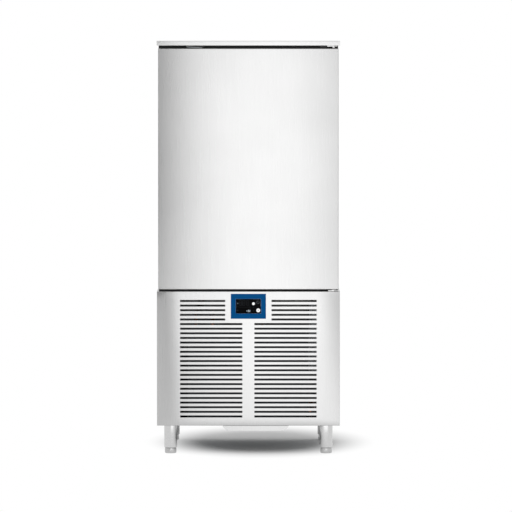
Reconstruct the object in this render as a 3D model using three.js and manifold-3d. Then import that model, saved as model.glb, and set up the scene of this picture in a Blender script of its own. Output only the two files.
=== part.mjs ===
// Upright blast chiller: an insulated cell with a right-hung door over a ventilated base
// that holds the refrigeration set. Millimetres, +Z up, front towards -Y, and the origin on
// the floor under the middle of the cabinet.

import * as THREE from "three";
import { mergeVertices } from "three/addons/utils/BufferGeometryUtils.js";
import Module from "manifold-3d";

const wasm = await Module();
wasm.setup();

// ---------------------------------------------------------------- driving dimensions

const WIDTH = 790; // base and roof, side to side
const DEPTH = 800; // roof lip to the back of the base
const LEG_HEIGHT = 123;
const BASE_HEIGHT = 581;
const LOWER_GAP = 10; // base to door
const DOOR_HEIGHT = 1038;
const UPPER_GAP = 13; // door to roof
const ROOF_HEIGHT = 20;
const DOOR_INSET = 6; // door's edges inside the base's sides
const DOOR_DEPTH = 55;
const CELL_INSET = 7; // cell's side skins inside the base's sides
const FRONT_SETBACK = 3; // door and base front behind the roof lip
const REAR_SETBACK = 20; // cell's back skin in front of the roof's rear edge
const SEAL_GAP = 14; // door to the frame it seals against
const WALL = 60; // insulated wall, skin to skin
const CELL_CORNER = 16; // coved corners of the liner
const SHEET = 1.5; // folded stainless sheet
const FIT = 0.3; // between pieces that seat on each other
const RUNNING = 0.35; // radial play of a shaft in its hole

const GRIP_LIP = 9; // thickness of the lip that the fingers pull
const GRIP_MOUTH = 34;
const GRIP_REACH = 24;
const HINGE_INSET_X = 22.6; // pin axis from the door's right edge
const HINGE_INSET_Y = 26; // pin axis behind the door's face
const PIN_RADIUS = 6;
const PIN_REACH = 26; // pin inside its bush
const BUSH_RADIUS = 10;
const BUSH_FLANGE_RADIUS = 14;
const BUSH_FLANGE = 2.3;
const BRACKET_WIDTH = 44;
const BRACKET_OFFSET = 4.4; // upper bracket's middle to the left of the pin
const UPPER_BRACKET = 4.2;
const LOWER_BRACKET = 4;
const BOSS_RADIUS = 11; // round seat under the door on the lower bracket
const SEAL_INSET = 10; // gasket's inner edge outside the cell's opening
const SEAL_WIDTH = 22;
const SEAL_BASE = 5.5;
const SEAL_LIP_INSET = 3;
const PLUG_RISE = 8; // raised field of the door's inner panel
const PLUG_MARGIN = 16; // between that field and the gasket
const SWITCH_INSET = 123; // switch housing's left end from the door's left edge
const SWITCH_LENGTH = 73;
const SWITCH_FLAT = 12; // level stretch under its thick end
const SWITCH_CLEARANCE = 1.5; // over the door
const SWITCH_THIN_RISE = 7;
const SWITCH_DEPTH = 47;
const SWITCH_SETBACK = 5;

const SLOT_PITCH = 20;
const SLOT_HEIGHT = 9;
const FIRST_SLOT = 41; // centre of the first row below the base's top edge
const LAST_SLOT = 35; // least height of the last row's centre above the bottom edge
const SLOT_MARGIN = 100; // outer ends from the base's sides
const SLOT_INNER = 26; // inner ends from the middle
const FASCIA_MARGIN = 24.15; // short slots' inner ends from the control fascia
const RETURN = 18; // folded edges of the front panel
const REAR_FLANGE = 20; // folded rear edges of the base's sides
const REAR_PANEL_INSET = 23.5;
const REAR_SLOT_PITCH = 32;
const REAR_SLOT_HEIGHT = 10;
const FIRST_REAR_SLOT = 264;
const LAST_REAR_SLOT = 135;
const REAR_SLOT_INNER = 20;
const REAR_SLOT_MARGIN = 145;
const FLOOR_SHEET = 2;
const FLOOR_FLANGE = 22;

const FASCIA_WIDTH = 151.7;
const FASCIA_HEIGHT = 108;
const FASCIA_DROP = 10; // below the base's top edge
const FASCIA_THICKNESS = 1.9;
const WINDOW_WIDTH = 108;
const WINDOW_HEIGHT = 62.6;
const WINDOW_MARGIN = 22.4; // below the fascia's top edge
const WINDOW_THICKNESS = 2;
const WINDOW_BEARING = 1; // window's edge resting on the front panel
const BUTTON_PROUD = 0.7;
const BUTTON_EDGE = 0.5;
const BUTTON_TRAVEL = 0.8;
const COLLAR_EXTRA = 0.8;
const COLLAR_THICKNESS = 1;
const BUTTON_STEM_RADIUS = 4;
const BUTTON_STEM_LENGTH = 2;
const START_BUTTON = { radius: 8.2, fromRight: 11.3, drop: 49.1 }; // from the window's corner
const POWER_BUTTON = { radius: 6, fromRight: 32, drop: 20.4 };
const HOUSING_MARGIN = 14; // control housing's edges outside the window
const HOUSING_DEPTH = 40;
const HOUSING_WALL = 2.5;

const RACK_PITCH = 62;
const FIRST_LEVEL = 46; // first runner above the cell's floor
const RACK_HEADROOM = 20; // least room over the uprights
const RUNNER_WIDTH = 38;
const RUNNER_THICKNESS = 3;
const RACK_SETBACK = 36; // runner's front end behind the cell's opening
const RACK_REAR_GAP = 30; // runner's rear end to the fan panel
const UPRIGHT_DEPTH = 12;
const UPRIGHT_WIDTH = 25;
const UPRIGHT_INSET = 40; // upright from each end of the runners
const UPRIGHT_FOOT = 20; // above the cell's floor, clear of the cove

const COIL_MARGIN = 88; // coil's ends from the cell's side walls
const COIL_DEPTH = 55;
const COIL_RISE = 86; // above the cell's floor
const COIL_HEADROOM = 65;
const COIL_SETBACK = 15; // behind it, to the cell's back wall
const COIL_FINS = 23;
const FIN_GAP = 4;
const FIN_DEEP = 8;
const END_PLATE = 3;
const FAN_DUCT = 102; // fan panel's face in front of the coil
const FAN_PANEL_MARGIN = 25; // at the cell's floor and ceiling
const FAN_PANEL_RETURN = 22;
const FAN_SPACING = 470;
const FAN_RADIUS = 120;
const FAN_TIP_PLAY = 7;
const FAN_RING = 15;
const FAN_BLADE_DEPTH = 24.5; // blade's middle behind the panel's face
const FAN_MOTOR_GAP = 9; // hub to motor
const FAN_HUB_RADIUS = 28;
const FAN_HUB_DEPTH = 24;
const FAN_SHAFT_RADIUS = 4;
const FAN_MOTOR_RADIUS = 40;
const FAN_MOTOR_DEPTH = 46;
const GUARD_RINGS = 3;
const GUARD_WIRE = 3;
const GUARD_RISE = 8;
const PROBE_X = 215;
const PROBE_NEEDLE = 2;
const PROBE_NEEDLE_LENGTH = 110;
const PROBE_GRIP = 7;
const PROBE_GRIP_LENGTH = 70;
const PROBE_LOOP_HEIGHT = 16;
const PROBE_LOOP_WALL = 3;
const PROBE_BACK_GAP = 2;

const CONDENSER_MARGIN = 135; // condenser's ends from the base's sides
const CONDENSER_HEADROOM = 161; // its height less than the base's
const CONDENSER_DEPTH = 60;
const CONDENSER_SETBACK = 37; // behind the base's front
const CONDENSER_FINS = 25;
const SHROUD_DEPTH = 37;
const SHROUD_MARGIN = 36; // blade's tip from the shroud's top and bottom
const CONDENSER_TIP_PLAY = 6;
const CONDENSER_RING = 24;
const CONDENSER_HUB_RADIUS = 40;
const CONDENSER_HUB_DEPTH = 20;
const CONDENSER_SHAFT_RADIUS = 6;
const CONDENSER_MOTOR_RADIUS = 48;
const CONDENSER_MOTOR_DEPTH = 76;
const CONDENSER_MOTOR_GAP = 34; // shroud's face to the motor
const CONDENSER_BLADE_GAP = 26; // blade's middle to the motor
const FAN_BLADES = 5;
const BLADE_SPREAD = 17; // degrees each side of the blade's centre line
const BLADE_TILT = 23; // degrees
const BLADE_THICKNESS = 2;
const MOTOR_CHAMFER = 4;
const MOTOR_ARM = 12;
const MOTOR_ARM_THICKNESS = 4;
const MOTOR_LEG = 8;

const COMPRESSOR = { fromLeft: 195, fromRear: 280, radius: 112, height: 300 };
const SHELL = { foot: 22, shoulder: 15, shoulderDrop: 56, crown: 50, crownDrop: 22 };
const TERMINAL_BOX = { reach: 28, width: 75, rise: 105, height: 90 };
const COMPRESSOR_FOOT = 250;
const COMPRESSOR_FOOT_THICKNESS = 4;
const GROMMET_RADIUS = 14;
const GROMMET_HEIGHT = 14;
const STUB_RADIUS = 11;
const STUB_RISE = 30;
const SUCTION_STUB = { x: -35, y: 30 }; // from the compressor's axis
const DISCHARGE_STUB = { x: 45, y: -30 };
const RECEIVER = { x: 60, fromRear: 240, radius: 58, height: 255 };
const TANK = { skirt: 9, skirtHeight: 17, shoulder: 29, crown: 23, crownDrop: 6, cap: 17 };
const RECEIVER_LINE_RISE = 55;
const RECEIVER_LINE_OUT = 30; // beyond the condenser's end
const DRIER_RADIUS = 26;
const DRIER_HEIGHT = 120;
const DRIER_END = 13; // each neck, and each slanted end next to it
const DRIER_RISE = 40; // above the receiver
const SUCTION_RADIUS = 8;
const LIQUID_RADIUS = 6;
const DISCHARGE_RADIUS = 7;
const RISER_SETBACK = 35; // lines in front of the cell's back wall
const SUCTION_RISER_INSET = 40; // from the evaporator's left end
const LIQUID_RISER_INSET = 120; // from its right end
const LINE_BEND = 40;
const LINE_PLAY = 2; // round a line where it passes a wall
const ELECTRICAL_BOX = { width: 123, y: [-100, 150], rise: 207, headroom: 62.5 };
const GLAND = { fromRight: 85, rise: 67, radius: 10, nut: 15, nutDepth: 10, reach: 20, bore: 5 };
const DRAIN = { x: 31, fromFront: 287, radius: 15, wall: 2, cup: 30, cupHeight: 1.7, tail: 3.5 };

const TRAY_X = 31; // drip tray's middle, right of the cabinet's
const TRAY_WIDTH = 284;
const TRAY_BEVEL = 18.5;
const TRAY_HEIGHT = 22.8;
const TRAY_DEPTH = 332;
const TRAY_FRONT = 3; // behind the base's front
const TRAY_DROP = 0.6; // tray's face below the base
const TROUGH_INSET = 13;
const TROUGH_BEVEL = 14;
const TRAY_FLANGE = 11;
const TRAY_FLANGE_DROP = 5.2;
const RAIL_SETBACK = 39; // rails' front ends behind the tray's face
const RAIL_LIP = 9;

const LEG_INSET_X = 58; // legs' axes from the base's sides
const LEG_INSET_Y = 60; // and from its front and back
const LEG_RADIUS = 28;
const FOOT_RADIUS = 25;
const FOOT_HEIGHT = 24;
const FOOT_EDGE = 4;
const STEM = { radius: 20, reach: 60, spare: 15 };

// Facets round a shape: more where it is large or turns in another.
const TUBE_SIDES = 6;
const SMALL_SIDES = 12;
const ROUND_SIDES = 16;
const PIN_SIDES = 20;
const RING_SIDES = 24;
const CORNER_STEPS = 4;
const TUBE_STEPS = 20;
const WELD = 1e-3; // corners closer than this are one

// ---------------------------------------------------------------- places that follow

const FRONT = -DEPTH / 2 + FRONT_SETBACK;
const REAR = DEPTH / 2;
const BASE_TOP = LEG_HEIGHT + BASE_HEIGHT;
const DOOR_BOTTOM = BASE_TOP + LOWER_GAP;
const DOOR_TOP = DOOR_BOTTOM + DOOR_HEIGHT;
const ROOF_BOTTOM = DOOR_TOP + UPPER_GAP;
const HEIGHT = ROOF_BOTTOM + ROOF_HEIGHT;
const DOOR_WIDTH = WIDTH - 2 * DOOR_INSET;
const DOOR_REAR = FRONT + DOOR_DEPTH;
const CELL_WIDTH = WIDTH - 2 * CELL_INSET;
const CELL_FRONT = DOOR_REAR + SEAL_GAP;
const CELL_REAR = REAR - REAR_SETBACK;
const CELL_BOTTOM = BASE_TOP + FIT;
const CELL_TOP = ROOF_BOTTOM - FIT;
const SKIN_FRONT = CELL_FRONT + SHEET + FIT;
const INSIDE_X = CELL_WIDTH / 2 - WALL;
const INSIDE_FLOOR = BASE_TOP + WALL;
const INSIDE_TOP = ROOF_BOTTOM - WALL;
const INSIDE_REAR = CELL_REAR - WALL;
const HINGE_X = DOOR_WIDTH / 2 - HINGE_INSET_X;
const HINGE_Y = FRONT + HINGE_INSET_Y;
const BORE_RADIUS = PIN_RADIUS + RUNNING;
const SIDE_FRONT = FRONT + RETURN + FIT; // base's sides start behind the front panel
const BASE_INNER_X = WIDTH / 2 - SHEET - FIT;
const BACK_PANEL = REAR - REAR_PANEL_INSET;
const FLOOR_REAR = BACK_PANEL - SHEET - FIT;
const FLOOR_TOP = LEG_HEIGHT + FLOOR_SHEET + FIT;
const DECK_BOTTOM = BASE_TOP - SHEET;
const RISER_Y = INSIDE_REAR - RISER_SETBACK;
const COIL_WIDTH = 2 * (INSIDE_X - COIL_MARGIN);
const COIL_BOTTOM = INSIDE_FLOOR + COIL_RISE;
const COIL_HEIGHT = INSIDE_TOP - COIL_HEADROOM - COIL_BOTTOM;
const COIL_REAR = INSIDE_REAR - COIL_SETBACK;
const COIL_FRONT = COIL_REAR - COIL_DEPTH;
const SUCTION_RISER_X = -COIL_WIDTH / 2 + SUCTION_RISER_INSET;
const LIQUID_RISER_X = COIL_WIDTH / 2 - LIQUID_RISER_INSET;
const FAN_PANEL_FRONT = COIL_FRONT - FAN_DUCT;
const FAN_PANEL_REAR = FAN_PANEL_FRONT + SHEET;
const CELL_MIDDLE = (INSIDE_FLOOR + INSIDE_TOP) / 2;
const CONDENSER_WIDTH = WIDTH - 2 * CONDENSER_MARGIN;
const CONDENSER_HEIGHT = BASE_HEIGHT - CONDENSER_HEADROOM;
const CONDENSER_FAN_RADIUS = CONDENSER_HEIGHT / 2 - SHROUD_MARGIN;
const CONDENSER_FRONT = FRONT + CONDENSER_SETBACK;
const CONDENSER_REAR = CONDENSER_FRONT + CONDENSER_DEPTH;
const CONDENSER_TOP = FLOOR_TOP + CONDENSER_HEIGHT;
const SHROUD_REAR = CONDENSER_REAR + FIT + SHROUD_DEPTH;
const PANEL_REAR = FRONT + SHEET;
const FASCIA_TOP = BASE_TOP - FASCIA_DROP;
const FASCIA_BOTTOM = FASCIA_TOP - FASCIA_HEIGHT;
const WINDOW_TOP = FASCIA_TOP - WINDOW_MARGIN;
const BEZEL_REAR = FRONT - FIT; // fascia and window seat on the front panel
const DRAIN_Y = FRONT + DRAIN.fromFront;
const GLAND_X = WIDTH / 2 - GLAND.fromRight;
const TRAY_TOP = LEG_HEIGHT - TRAY_DROP;
const TRAY_BOTTOM = TRAY_TOP - TRAY_HEIGHT;
const TRAY_FACE = FRONT + TRAY_FRONT;
const FLANGE_TOP = LEG_HEIGHT - TRAY_FLANGE_DROP;
const FLANGE_BOTTOM = FLANGE_TOP - SHEET;

// ---------------------------------------------------------------- shapes

const both = (half) => [-half, half];
const span = (start, length) => [start, start + length];
const insetPair = ([low, high], by) => [low + by, high - by];

function block(x, y, z) {
  const size = [x, y, z].map(([a, b]) => Math.abs(b - a));
  const middle = [x, y, z].map(([a, b]) => (a + b) / 2);
  return new THREE.BoxGeometry(...size).translate(...middle);
}

function outline(points) {
  return new THREE.Shape(points.map(([u, v]) => new THREE.Vector2(u, v)));
}

function rectangle([left, right], [low, high], corner = 0) {
  const shape = new THREE.Shape();
  shape.moveTo(left + corner, low);
  shape.lineTo(right - corner, low);
  if (corner) shape.absarc(right - corner, low + corner, corner, -Math.PI / 2, 0);
  shape.lineTo(right, high - corner);
  if (corner) shape.absarc(right - corner, high - corner, corner, 0, Math.PI / 2);
  shape.lineTo(left + corner, high);
  if (corner) shape.absarc(left + corner, high - corner, corner, Math.PI / 2, Math.PI);
  shape.lineTo(left, low + corner);
  if (corner) shape.absarc(left + corner, low + corner, corner, Math.PI, Math.PI * 1.5);
  shape.closePath();
  return shape;
}

// A plan outline raised between two heights.
function raise(shape, [bottom, top]) {
  const options = { depth: top - bottom, bevelEnabled: false };
  return new THREE.ExtrudeGeometry(shape, options).translate(0, 0, bottom);
}

// A front outline (x, z) carried from one depth to another.
function carry(shape, [near, far]) {
  const options = { depth: far - near, bevelEnabled: false, curveSegments: CORNER_STEPS };
  return new THREE.ExtrudeGeometry(shape, options).rotateX(Math.PI / 2).translate(0, far, 0);
}

// A profile of [radius, height] points turned about the Y axis, closed on the axis or on itself.
function turn(profile, sides) {
  const area = profile.reduce((sum, [r, h], i) => {
    const [nextR, nextH] = profile[(i + 1) % profile.length];
    return sum + r * nextH - nextR * h;
  }, 0);
  const ordered = area > 0 ? profile : [...profile].reverse();
  const onAxis = ordered.some(([r]) => r === 0);
  const start = ordered.findIndex(([r], i) => r === 0 && ordered.at(i - 1)[0] === 0);
  const first = onAxis ? start : 0;
  const loop = ordered.map((_, i) => ordered[(first + i) % ordered.length]);
  if (!onAxis) loop.push(loop[0]);
  return new THREE.LatheGeometry(loop.map(([r, h]) => new THREE.Vector2(r, h)), sides);
}

const post = (profile, sides) => turn(profile, sides).rotateX(Math.PI / 2);

function rod(radius, [bottom, top], x = 0, y = 0, sides = ROUND_SIDES) {
  const round = new THREE.CylinderGeometry(radius, radius, top - bottom, sides);
  return round.rotateX(Math.PI / 2).translate(x, y, (bottom + top) / 2);
}

function bar(radius, [near, far], x, z, sides = ROUND_SIDES) {
  const round = new THREE.CylinderGeometry(radius, radius, far - near, sides);
  return round.translate(x, (near + far) / 2, z);
}

// A tube along straight runs joined by round bends.
function tube(corners, radius, bend) {
  const path = new THREE.CurvePath();
  const points = corners.map((corner) => new THREE.Vector3(...corner));
  let from = points[0];
  for (let i = 1; i < points.length - 1; i += 1) {
    const before = points[i - 1].clone().sub(points[i]);
    const after = points[i + 1].clone().sub(points[i]);
    const reach = Math.min(bend, before.length() / 2, after.length() / 2);
    const enter = points[i].clone().addScaledVector(before.normalize(), reach);
    const leave = points[i].clone().addScaledVector(after.normalize(), reach);
    path.add(new THREE.LineCurve3(from, enter));
    path.add(new THREE.QuadraticBezierCurve3(enter, points[i], leave));
    from = leave;
  }
  path.add(new THREE.LineCurve3(from, points.at(-1)));
  const ring = Array.from({ length: TUBE_SIDES }, (_, i) => {
    const angle = (i / TUBE_SIDES) * 2 * Math.PI;
    return [radius * Math.cos(angle), radius * Math.sin(angle)];
  });
  return new THREE.ExtrudeGeometry(outline(ring), { steps: TUBE_STEPS, extrudePath: path });
}

// ---------------------------------------------------------------- joins and cuts

function solid(geometry) {
  if (!(geometry instanceof THREE.BufferGeometry)) return geometry;
  const bare = geometry.clone();
  bare.deleteAttribute("normal");
  bare.deleteAttribute("uv");
  const merged = mergeVertices(bare, WELD);
  const vertProperties = new Float32Array(merged.attributes.position.array);
  const triVerts = new Uint32Array(merged.index.array);
  return new wasm.Manifold(new wasm.Mesh({ numProp: 3, vertProperties, triVerts }));
}

const join = (first, ...rest) => rest.reduce((sum, next) => sum.add(solid(next)), solid(first));
const cut = (first, ...rest) => rest.reduce((sum, next) => sum.subtract(solid(next)), solid(first));

function geometryOf(shape) {
  if (shape instanceof THREE.BufferGeometry) return shape;
  const { vertProperties, triVerts } = shape.getMesh();
  const geometry = new THREE.BufferGeometry();
  geometry.setAttribute("position", new THREE.BufferAttribute(vertProperties, 3));
  geometry.setIndex(new THREE.BufferAttribute(triVerts, 1));
  geometry.computeVertexNormals();
  return geometry;
}

// ---------------------------------------------------------------- finishes

const finish = (color, roughness, metalness) => ({ color, roughness, metalness });
const STAINLESS = finish(0xc9cacb, 0.38, 1);
const POLISHED = finish(0xd8d9da, 0.15, 1);
const GALVANISED = finish(0xa9adb0, 0.5, 1);
const ALUMINIUM = finish(0xc4c7c9, 0.45, 1);
const COPPER = finish(0xb87352, 0.35, 1);
const BLACK_PLASTIC = finish(0x151515, 0.5, 0);
const GREY_PLASTIC = finish(0x8a8d90, 0.55, 0);
const WHITE_PLASTIC = finish(0xf2f2f0, 0.35, 0);
const BLUE_FASCIA = finish(0x08508a, 0.4, 0);
const BLACK_GLASS = finish(0x050506, 0.12, 0);
const BLACK_PAINT = finish(0x1b1c1d, 0.5, 0.2);
const GREY_RUBBER = finish(0x5a5d60, 0.75, 0);
const FOAM = finish(0xe6dcae, 0.9, 0);

function piece(name, shape, look) {
  const mesh = new THREE.Mesh(geometryOf(shape), new THREE.MeshStandardMaterial(look));
  mesh.name = name;
  return mesh;
}

function groupAt([x, y, z], ...children) {
  const group = new THREE.Group();
  group.position.set(x, y, z);
  group.add(...children);
  return group;
}

// ---------------------------------------------------------------- insulated cell

const INSIDE_Z = [INSIDE_FLOOR, INSIDE_TOP];
const FOAM_X = both(CELL_WIDTH / 2 - SHEET - FIT);
const FOAM_Y = [SKIN_FRONT, CELL_REAR - SHEET - FIT];
const FOAM_TOP = HEIGHT - SHEET - FIT;

function roofPanel() {
  const shell = block(both(WIDTH / 2), [-DEPTH / 2, REAR], [ROOF_BOTTOM, HEIGHT]);
  const hollow = block(
    both(WIDTH / 2 - SHEET),
    [-DEPTH / 2 + SHEET, REAR - SHEET],
    [ROOF_BOTTOM + SHEET, HEIGHT - SHEET],
  );
  const mouth = block(insetPair(FOAM_X, -FIT), insetPair(FOAM_Y, -FIT), [
    ROOF_BOTTOM - SHEET,
    ROOF_BOTTOM + 2 * SHEET,
  ]);
  return piece("roof_panel", cut(shell, hollow, mouth), STAINLESS);
}

function cellSide(name, side) {
  const x = [side * (CELL_WIDTH / 2 - SHEET), (side * CELL_WIDTH) / 2];
  const y = [SKIN_FRONT, CELL_REAR - SHEET - FIT];
  return piece(name, block(x, y, [CELL_BOTTOM, CELL_TOP]), STAINLESS);
}

function rearPanel() {
  const skin = block(both(CELL_WIDTH / 2), [CELL_REAR - SHEET, CELL_REAR], [CELL_BOTTOM, CELL_TOP]);
  return piece("rear_panel", skin, STAINLESS);
}

function frontFrame() {
  const frame = rectangle(both(CELL_WIDTH / 2), [CELL_BOTTOM, CELL_TOP]);
  frame.holes.push(rectangle(both(INSIDE_X), INSIDE_Z, CELL_CORNER));
  return piece("front_frame", carry(frame, span(CELL_FRONT, SHEET)), BLACK_PLASTIC);
}

// The refrigerant lines and the drain pass through the cell's floor and what lies under it.
function floorHoles(extra, bottom, top) {
  const heights = [bottom, top];
  return [
    rod(SUCTION_RADIUS + extra, heights, SUCTION_RISER_X, RISER_Y, TUBE_SIDES),
    rod(LIQUID_RADIUS + extra, heights, LIQUID_RISER_X, RISER_Y, TUBE_SIDES),
    rod(DRAIN.radius + extra, heights, DRAIN.x, DRAIN_Y, SMALL_SIDES),
  ];
}

function cellInsulation() {
  const foam = block(FOAM_X, FOAM_Y, [CELL_BOTTOM, FOAM_TOP]);
  const grown = SHEET + FIT;
  const cavity = carry(
    rectangle(both(INSIDE_X + grown), insetPair(INSIDE_Z, -grown), CELL_CORNER + grown),
    [CELL_FRONT, INSIDE_REAR + grown],
  );
  const holes = floorHoles(LINE_PLAY, CELL_BOTTOM - WALL, INSIDE_FLOOR + WALL);
  return piece("cell_insulation", cut(foam, cavity, ...holes), FOAM);
}

function cellLiner() {
  const outer = carry(
    rectangle(both(INSIDE_X + SHEET), insetPair(INSIDE_Z, -SHEET), CELL_CORNER + SHEET),
    [SKIN_FRONT, INSIDE_REAR + SHEET],
  );
  const inner = carry(rectangle(both(INSIDE_X), INSIDE_Z, CELL_CORNER), [CELL_FRONT, INSIDE_REAR]);
  const holes = floorHoles(LINE_PLAY, INSIDE_FLOOR - WALL, INSIDE_FLOOR + WALL);
  return piece("cell_liner", cut(outer, inner, ...holes), STAINLESS);
}

function drainPipe() {
  const bore = DRAIN.radius - DRAIN.wall;
  const seat = INSIDE_FLOOR + FIT;
  const profile = [
    [bore, FLANGE_TOP + DRAIN.tail],
    [DRAIN.radius, FLANGE_TOP + DRAIN.tail],
    [DRAIN.radius, seat],
    [DRAIN.cup, seat],
    [DRAIN.cup, seat + DRAIN.cupHeight],
    [bore, seat + DRAIN.cupHeight],
  ];
  return groupAt([DRAIN.x, DRAIN_Y, 0], piece("drain_pipe", post(profile, SMALL_SIDES), GREY_PLASTIC));
}

// ---------------------------------------------------------------- inside the cell

const RUNNER_Y = [CELL_FRONT + RACK_SETBACK, FAN_PANEL_FRONT - RACK_REAR_GAP];
const RACK_ROOM = INSIDE_TOP - INSIDE_FLOOR - FIRST_LEVEL - RACK_HEADROOM;
const RACK_LEVELS = Math.floor(RACK_ROOM / RACK_PITCH);
const RACK_TOP = INSIDE_FLOOR + FIRST_LEVEL + RACK_LEVELS * RACK_PITCH;

function rack(name, side) {
  const wall = side * (INSIDE_X - FIT);
  const uprightX = [wall, wall - side * UPRIGHT_DEPTH];
  const uprightZ = [INSIDE_FLOOR + UPRIGHT_FOOT, RACK_TOP];
  const shelfX = span(wall - (side * UPRIGHT_DEPTH) / 2, -side * RUNNER_WIDTH);
  const uprights = [
    span(RUNNER_Y[0] + UPRIGHT_INSET, UPRIGHT_WIDTH),
    span(RUNNER_Y[1] - UPRIGHT_INSET, -UPRIGHT_WIDTH),
  ].map((y) => block(uprightX, y, uprightZ));
  const runners = Array.from({ length: RACK_LEVELS }, (_, level) => {
    const height = INSIDE_FLOOR + FIRST_LEVEL + level * RACK_PITCH;
    return block(shelfX, RUNNER_Y, span(height, RUNNER_THICKNESS));
  });
  return piece(name, join(...uprights, ...runners), STAINLESS);
}

function finnedCoil(name, { width, height, y, bottom, fins, endDepth }, look) {
  const core = block(both(width / 2), y, span(bottom, height));
  const pitch = width / (fins + 1);
  const slots = Array.from({ length: fins }, (_, i) => {
    const middle = -width / 2 + (i + 1) * pitch;
    const x = [middle - FIN_GAP / 2, middle + FIN_GAP / 2];
    return block(x, [y[0] - FIN_DEEP, y[0] + FIN_DEEP], span(bottom - FIN_GAP, height + 2 * FIN_GAP));
  });
  const ends = [-1, 1].map((side) => {
    const x = [(side * width) / 2, side * (width / 2 - END_PLATE)];
    return block(x, [y[0], endDepth], span(bottom, height));
  });
  return piece(name, join(cut(core, ...slots), ...ends), look);
}

function evaporatorCoil() {
  const size = {
    width: COIL_WIDTH,
    height: COIL_HEIGHT,
    y: [COIL_FRONT, COIL_REAR],
    bottom: COIL_BOTTOM,
    fins: COIL_FINS,
    endDepth: INSIDE_REAR - FIT,
  };
  return finnedCoil("evaporator_coil", size, ALUMINIUM);
}

const PROBE_Y = FAN_PANEL_FRONT - PROBE_BACK_GAP - PROBE_GRIP;
const PROBE_LOOP_Z = span(CELL_MIDDLE, PROBE_LOOP_HEIGHT);
const RING_Y = span(FAN_PANEL_FRONT, FAN_RING);

function evaporatorFanPanel() {
  const width = both(INSIDE_X - FIT);
  const height = insetPair(INSIDE_Z, FAN_PANEL_MARGIN);
  const opening = FAN_RADIUS + FAN_TIP_PLAY;
  const middles = [-1, 1].map((side) => CELL_MIDDLE + (side * FAN_SPACING) / 2);
  const sheet = block(width, [FAN_PANEL_FRONT, FAN_PANEL_REAR], height);
  const returns = [-1, 1].map((side) => {
    const x = [side * width[1], side * (width[1] - SHEET)];
    return block(x, span(FAN_PANEL_FRONT, FAN_PANEL_RETURN), height);
  });
  const rings = middles.map((z) => bar(opening + SHEET, RING_Y, 0, z, RING_SIDES));
  const mouths = middles.map((z) => bar(opening, insetPair(RING_Y, -SHEET), 0, z, RING_SIDES));
  const loopReach = PROBE_GRIP + PROBE_LOOP_WALL;
  const loop = block(
    [PROBE_X - loopReach, PROBE_X + loopReach],
    [PROBE_Y - loopReach, FAN_PANEL_REAR],
    PROBE_LOOP_Z,
  );
  const loopHole = rod(PROBE_GRIP + RUNNING, insetPair(PROBE_LOOP_Z, -FIT), PROBE_X, PROBE_Y);
  const panel = cut(join(sheet, ...returns, ...rings), ...mouths);
  return piece("evaporator_fan_panel", cut(join(panel, loop), loopHole), STAINLESS);
}

function coreProbe() {
  const collar = PROBE_GRIP + PROBE_LOOP_WALL / 2;
  const seat = PROBE_LOOP_Z[1] + FIT;
  const gripBottom = seat - PROBE_GRIP_LENGTH / 2;
  const profile = [
    [0, gripBottom - PROBE_NEEDLE_LENGTH],
    [PROBE_NEEDLE, gripBottom - PROBE_NEEDLE_LENGTH + 2 * PROBE_NEEDLE],
    [PROBE_NEEDLE, gripBottom],
    [PROBE_GRIP, gripBottom],
    [PROBE_GRIP, seat],
    [collar, seat],
    [collar, seat + PROBE_LOOP_WALL],
    [PROBE_GRIP, seat + PROBE_LOOP_WALL],
    [PROBE_GRIP, gripBottom + PROBE_GRIP_LENGTH],
    [0, gripBottom + PROBE_GRIP_LENGTH],
  ];
  return groupAt([PROBE_X, PROBE_Y, 0], piece("core_probe", post(profile, SMALL_SIDES), BLACK_PLASTIC));
}

// ---------------------------------------------------------------- fans, each about its own Y axis

function fanBlade(name, { radius, hubRadius, hubDepth, shaftRadius }) {
  const hub = turn(
    [
      [shaftRadius + RUNNING, -hubDepth / 2],
      [hubRadius, -hubDepth / 2],
      [hubRadius, hubDepth / 2],
      [shaftRadius + RUNNING, hubDepth / 2],
    ],
    ROUND_SIDES,
  );
  const spread = THREE.MathUtils.degToRad(BLADE_SPREAD);
  const root = shaftRadius + RUNNING + (hubRadius - shaftRadius) / 2;
  const vane = new THREE.Shape();
  vane.moveTo(root * Math.cos(spread), -root * Math.sin(spread));
  vane.absarc(0, 0, radius, -spread, spread);
  vane.lineTo(root * Math.cos(spread), root * Math.sin(spread));
  vane.closePath();
  const vanes = Array.from({ length: FAN_BLADES }, (_, i) => {
    const flat = carry(vane, both(BLADE_THICKNESS / 2));
    flat.rotateX(THREE.MathUtils.degToRad(BLADE_TILT));
    return flat.rotateY((i / FAN_BLADES) * 2 * Math.PI);
  });
  return piece(name, join(hub, ...vanes), BLACK_PLASTIC);
}

// A motor behind its blade, with a shaft forwards and four arms that seat on the panel's back.
function fanMotor(name, { radius, depth, shaftRadius, shaftReach, seatRadius, seatDepth }) {
  const body = turn(
    [
      [0, 0],
      [radius - MOTOR_CHAMFER, 0],
      [radius, MOTOR_CHAMFER],
      [radius, depth - 2 * MOTOR_CHAMFER],
      [radius - 2 * MOTOR_CHAMFER, depth],
      [0, depth],
    ],
    ROUND_SIDES,
  );
  const shaft = bar(shaftRadius, [-shaftReach, MOTOR_ARM_THICKNESS], 0, 0);
  const arms = [0, 1, 2, 3].flatMap((quarter) => {
    const width = both(MOTOR_ARM / 2);
    const arm = block([radius / 2, seatRadius + MOTOR_LEG], [0, MOTOR_ARM_THICKNESS], width);
    const leg = block(span(seatRadius, MOTOR_LEG), [-seatDepth, MOTOR_ARM_THICKNESS], width);
    return [arm, leg].map((shape) => shape.rotateY(Math.PI / 4 + (quarter * Math.PI) / 2));
  });
  return piece(name, join(body, shaft, ...arms), GALVANISED);
}

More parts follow.
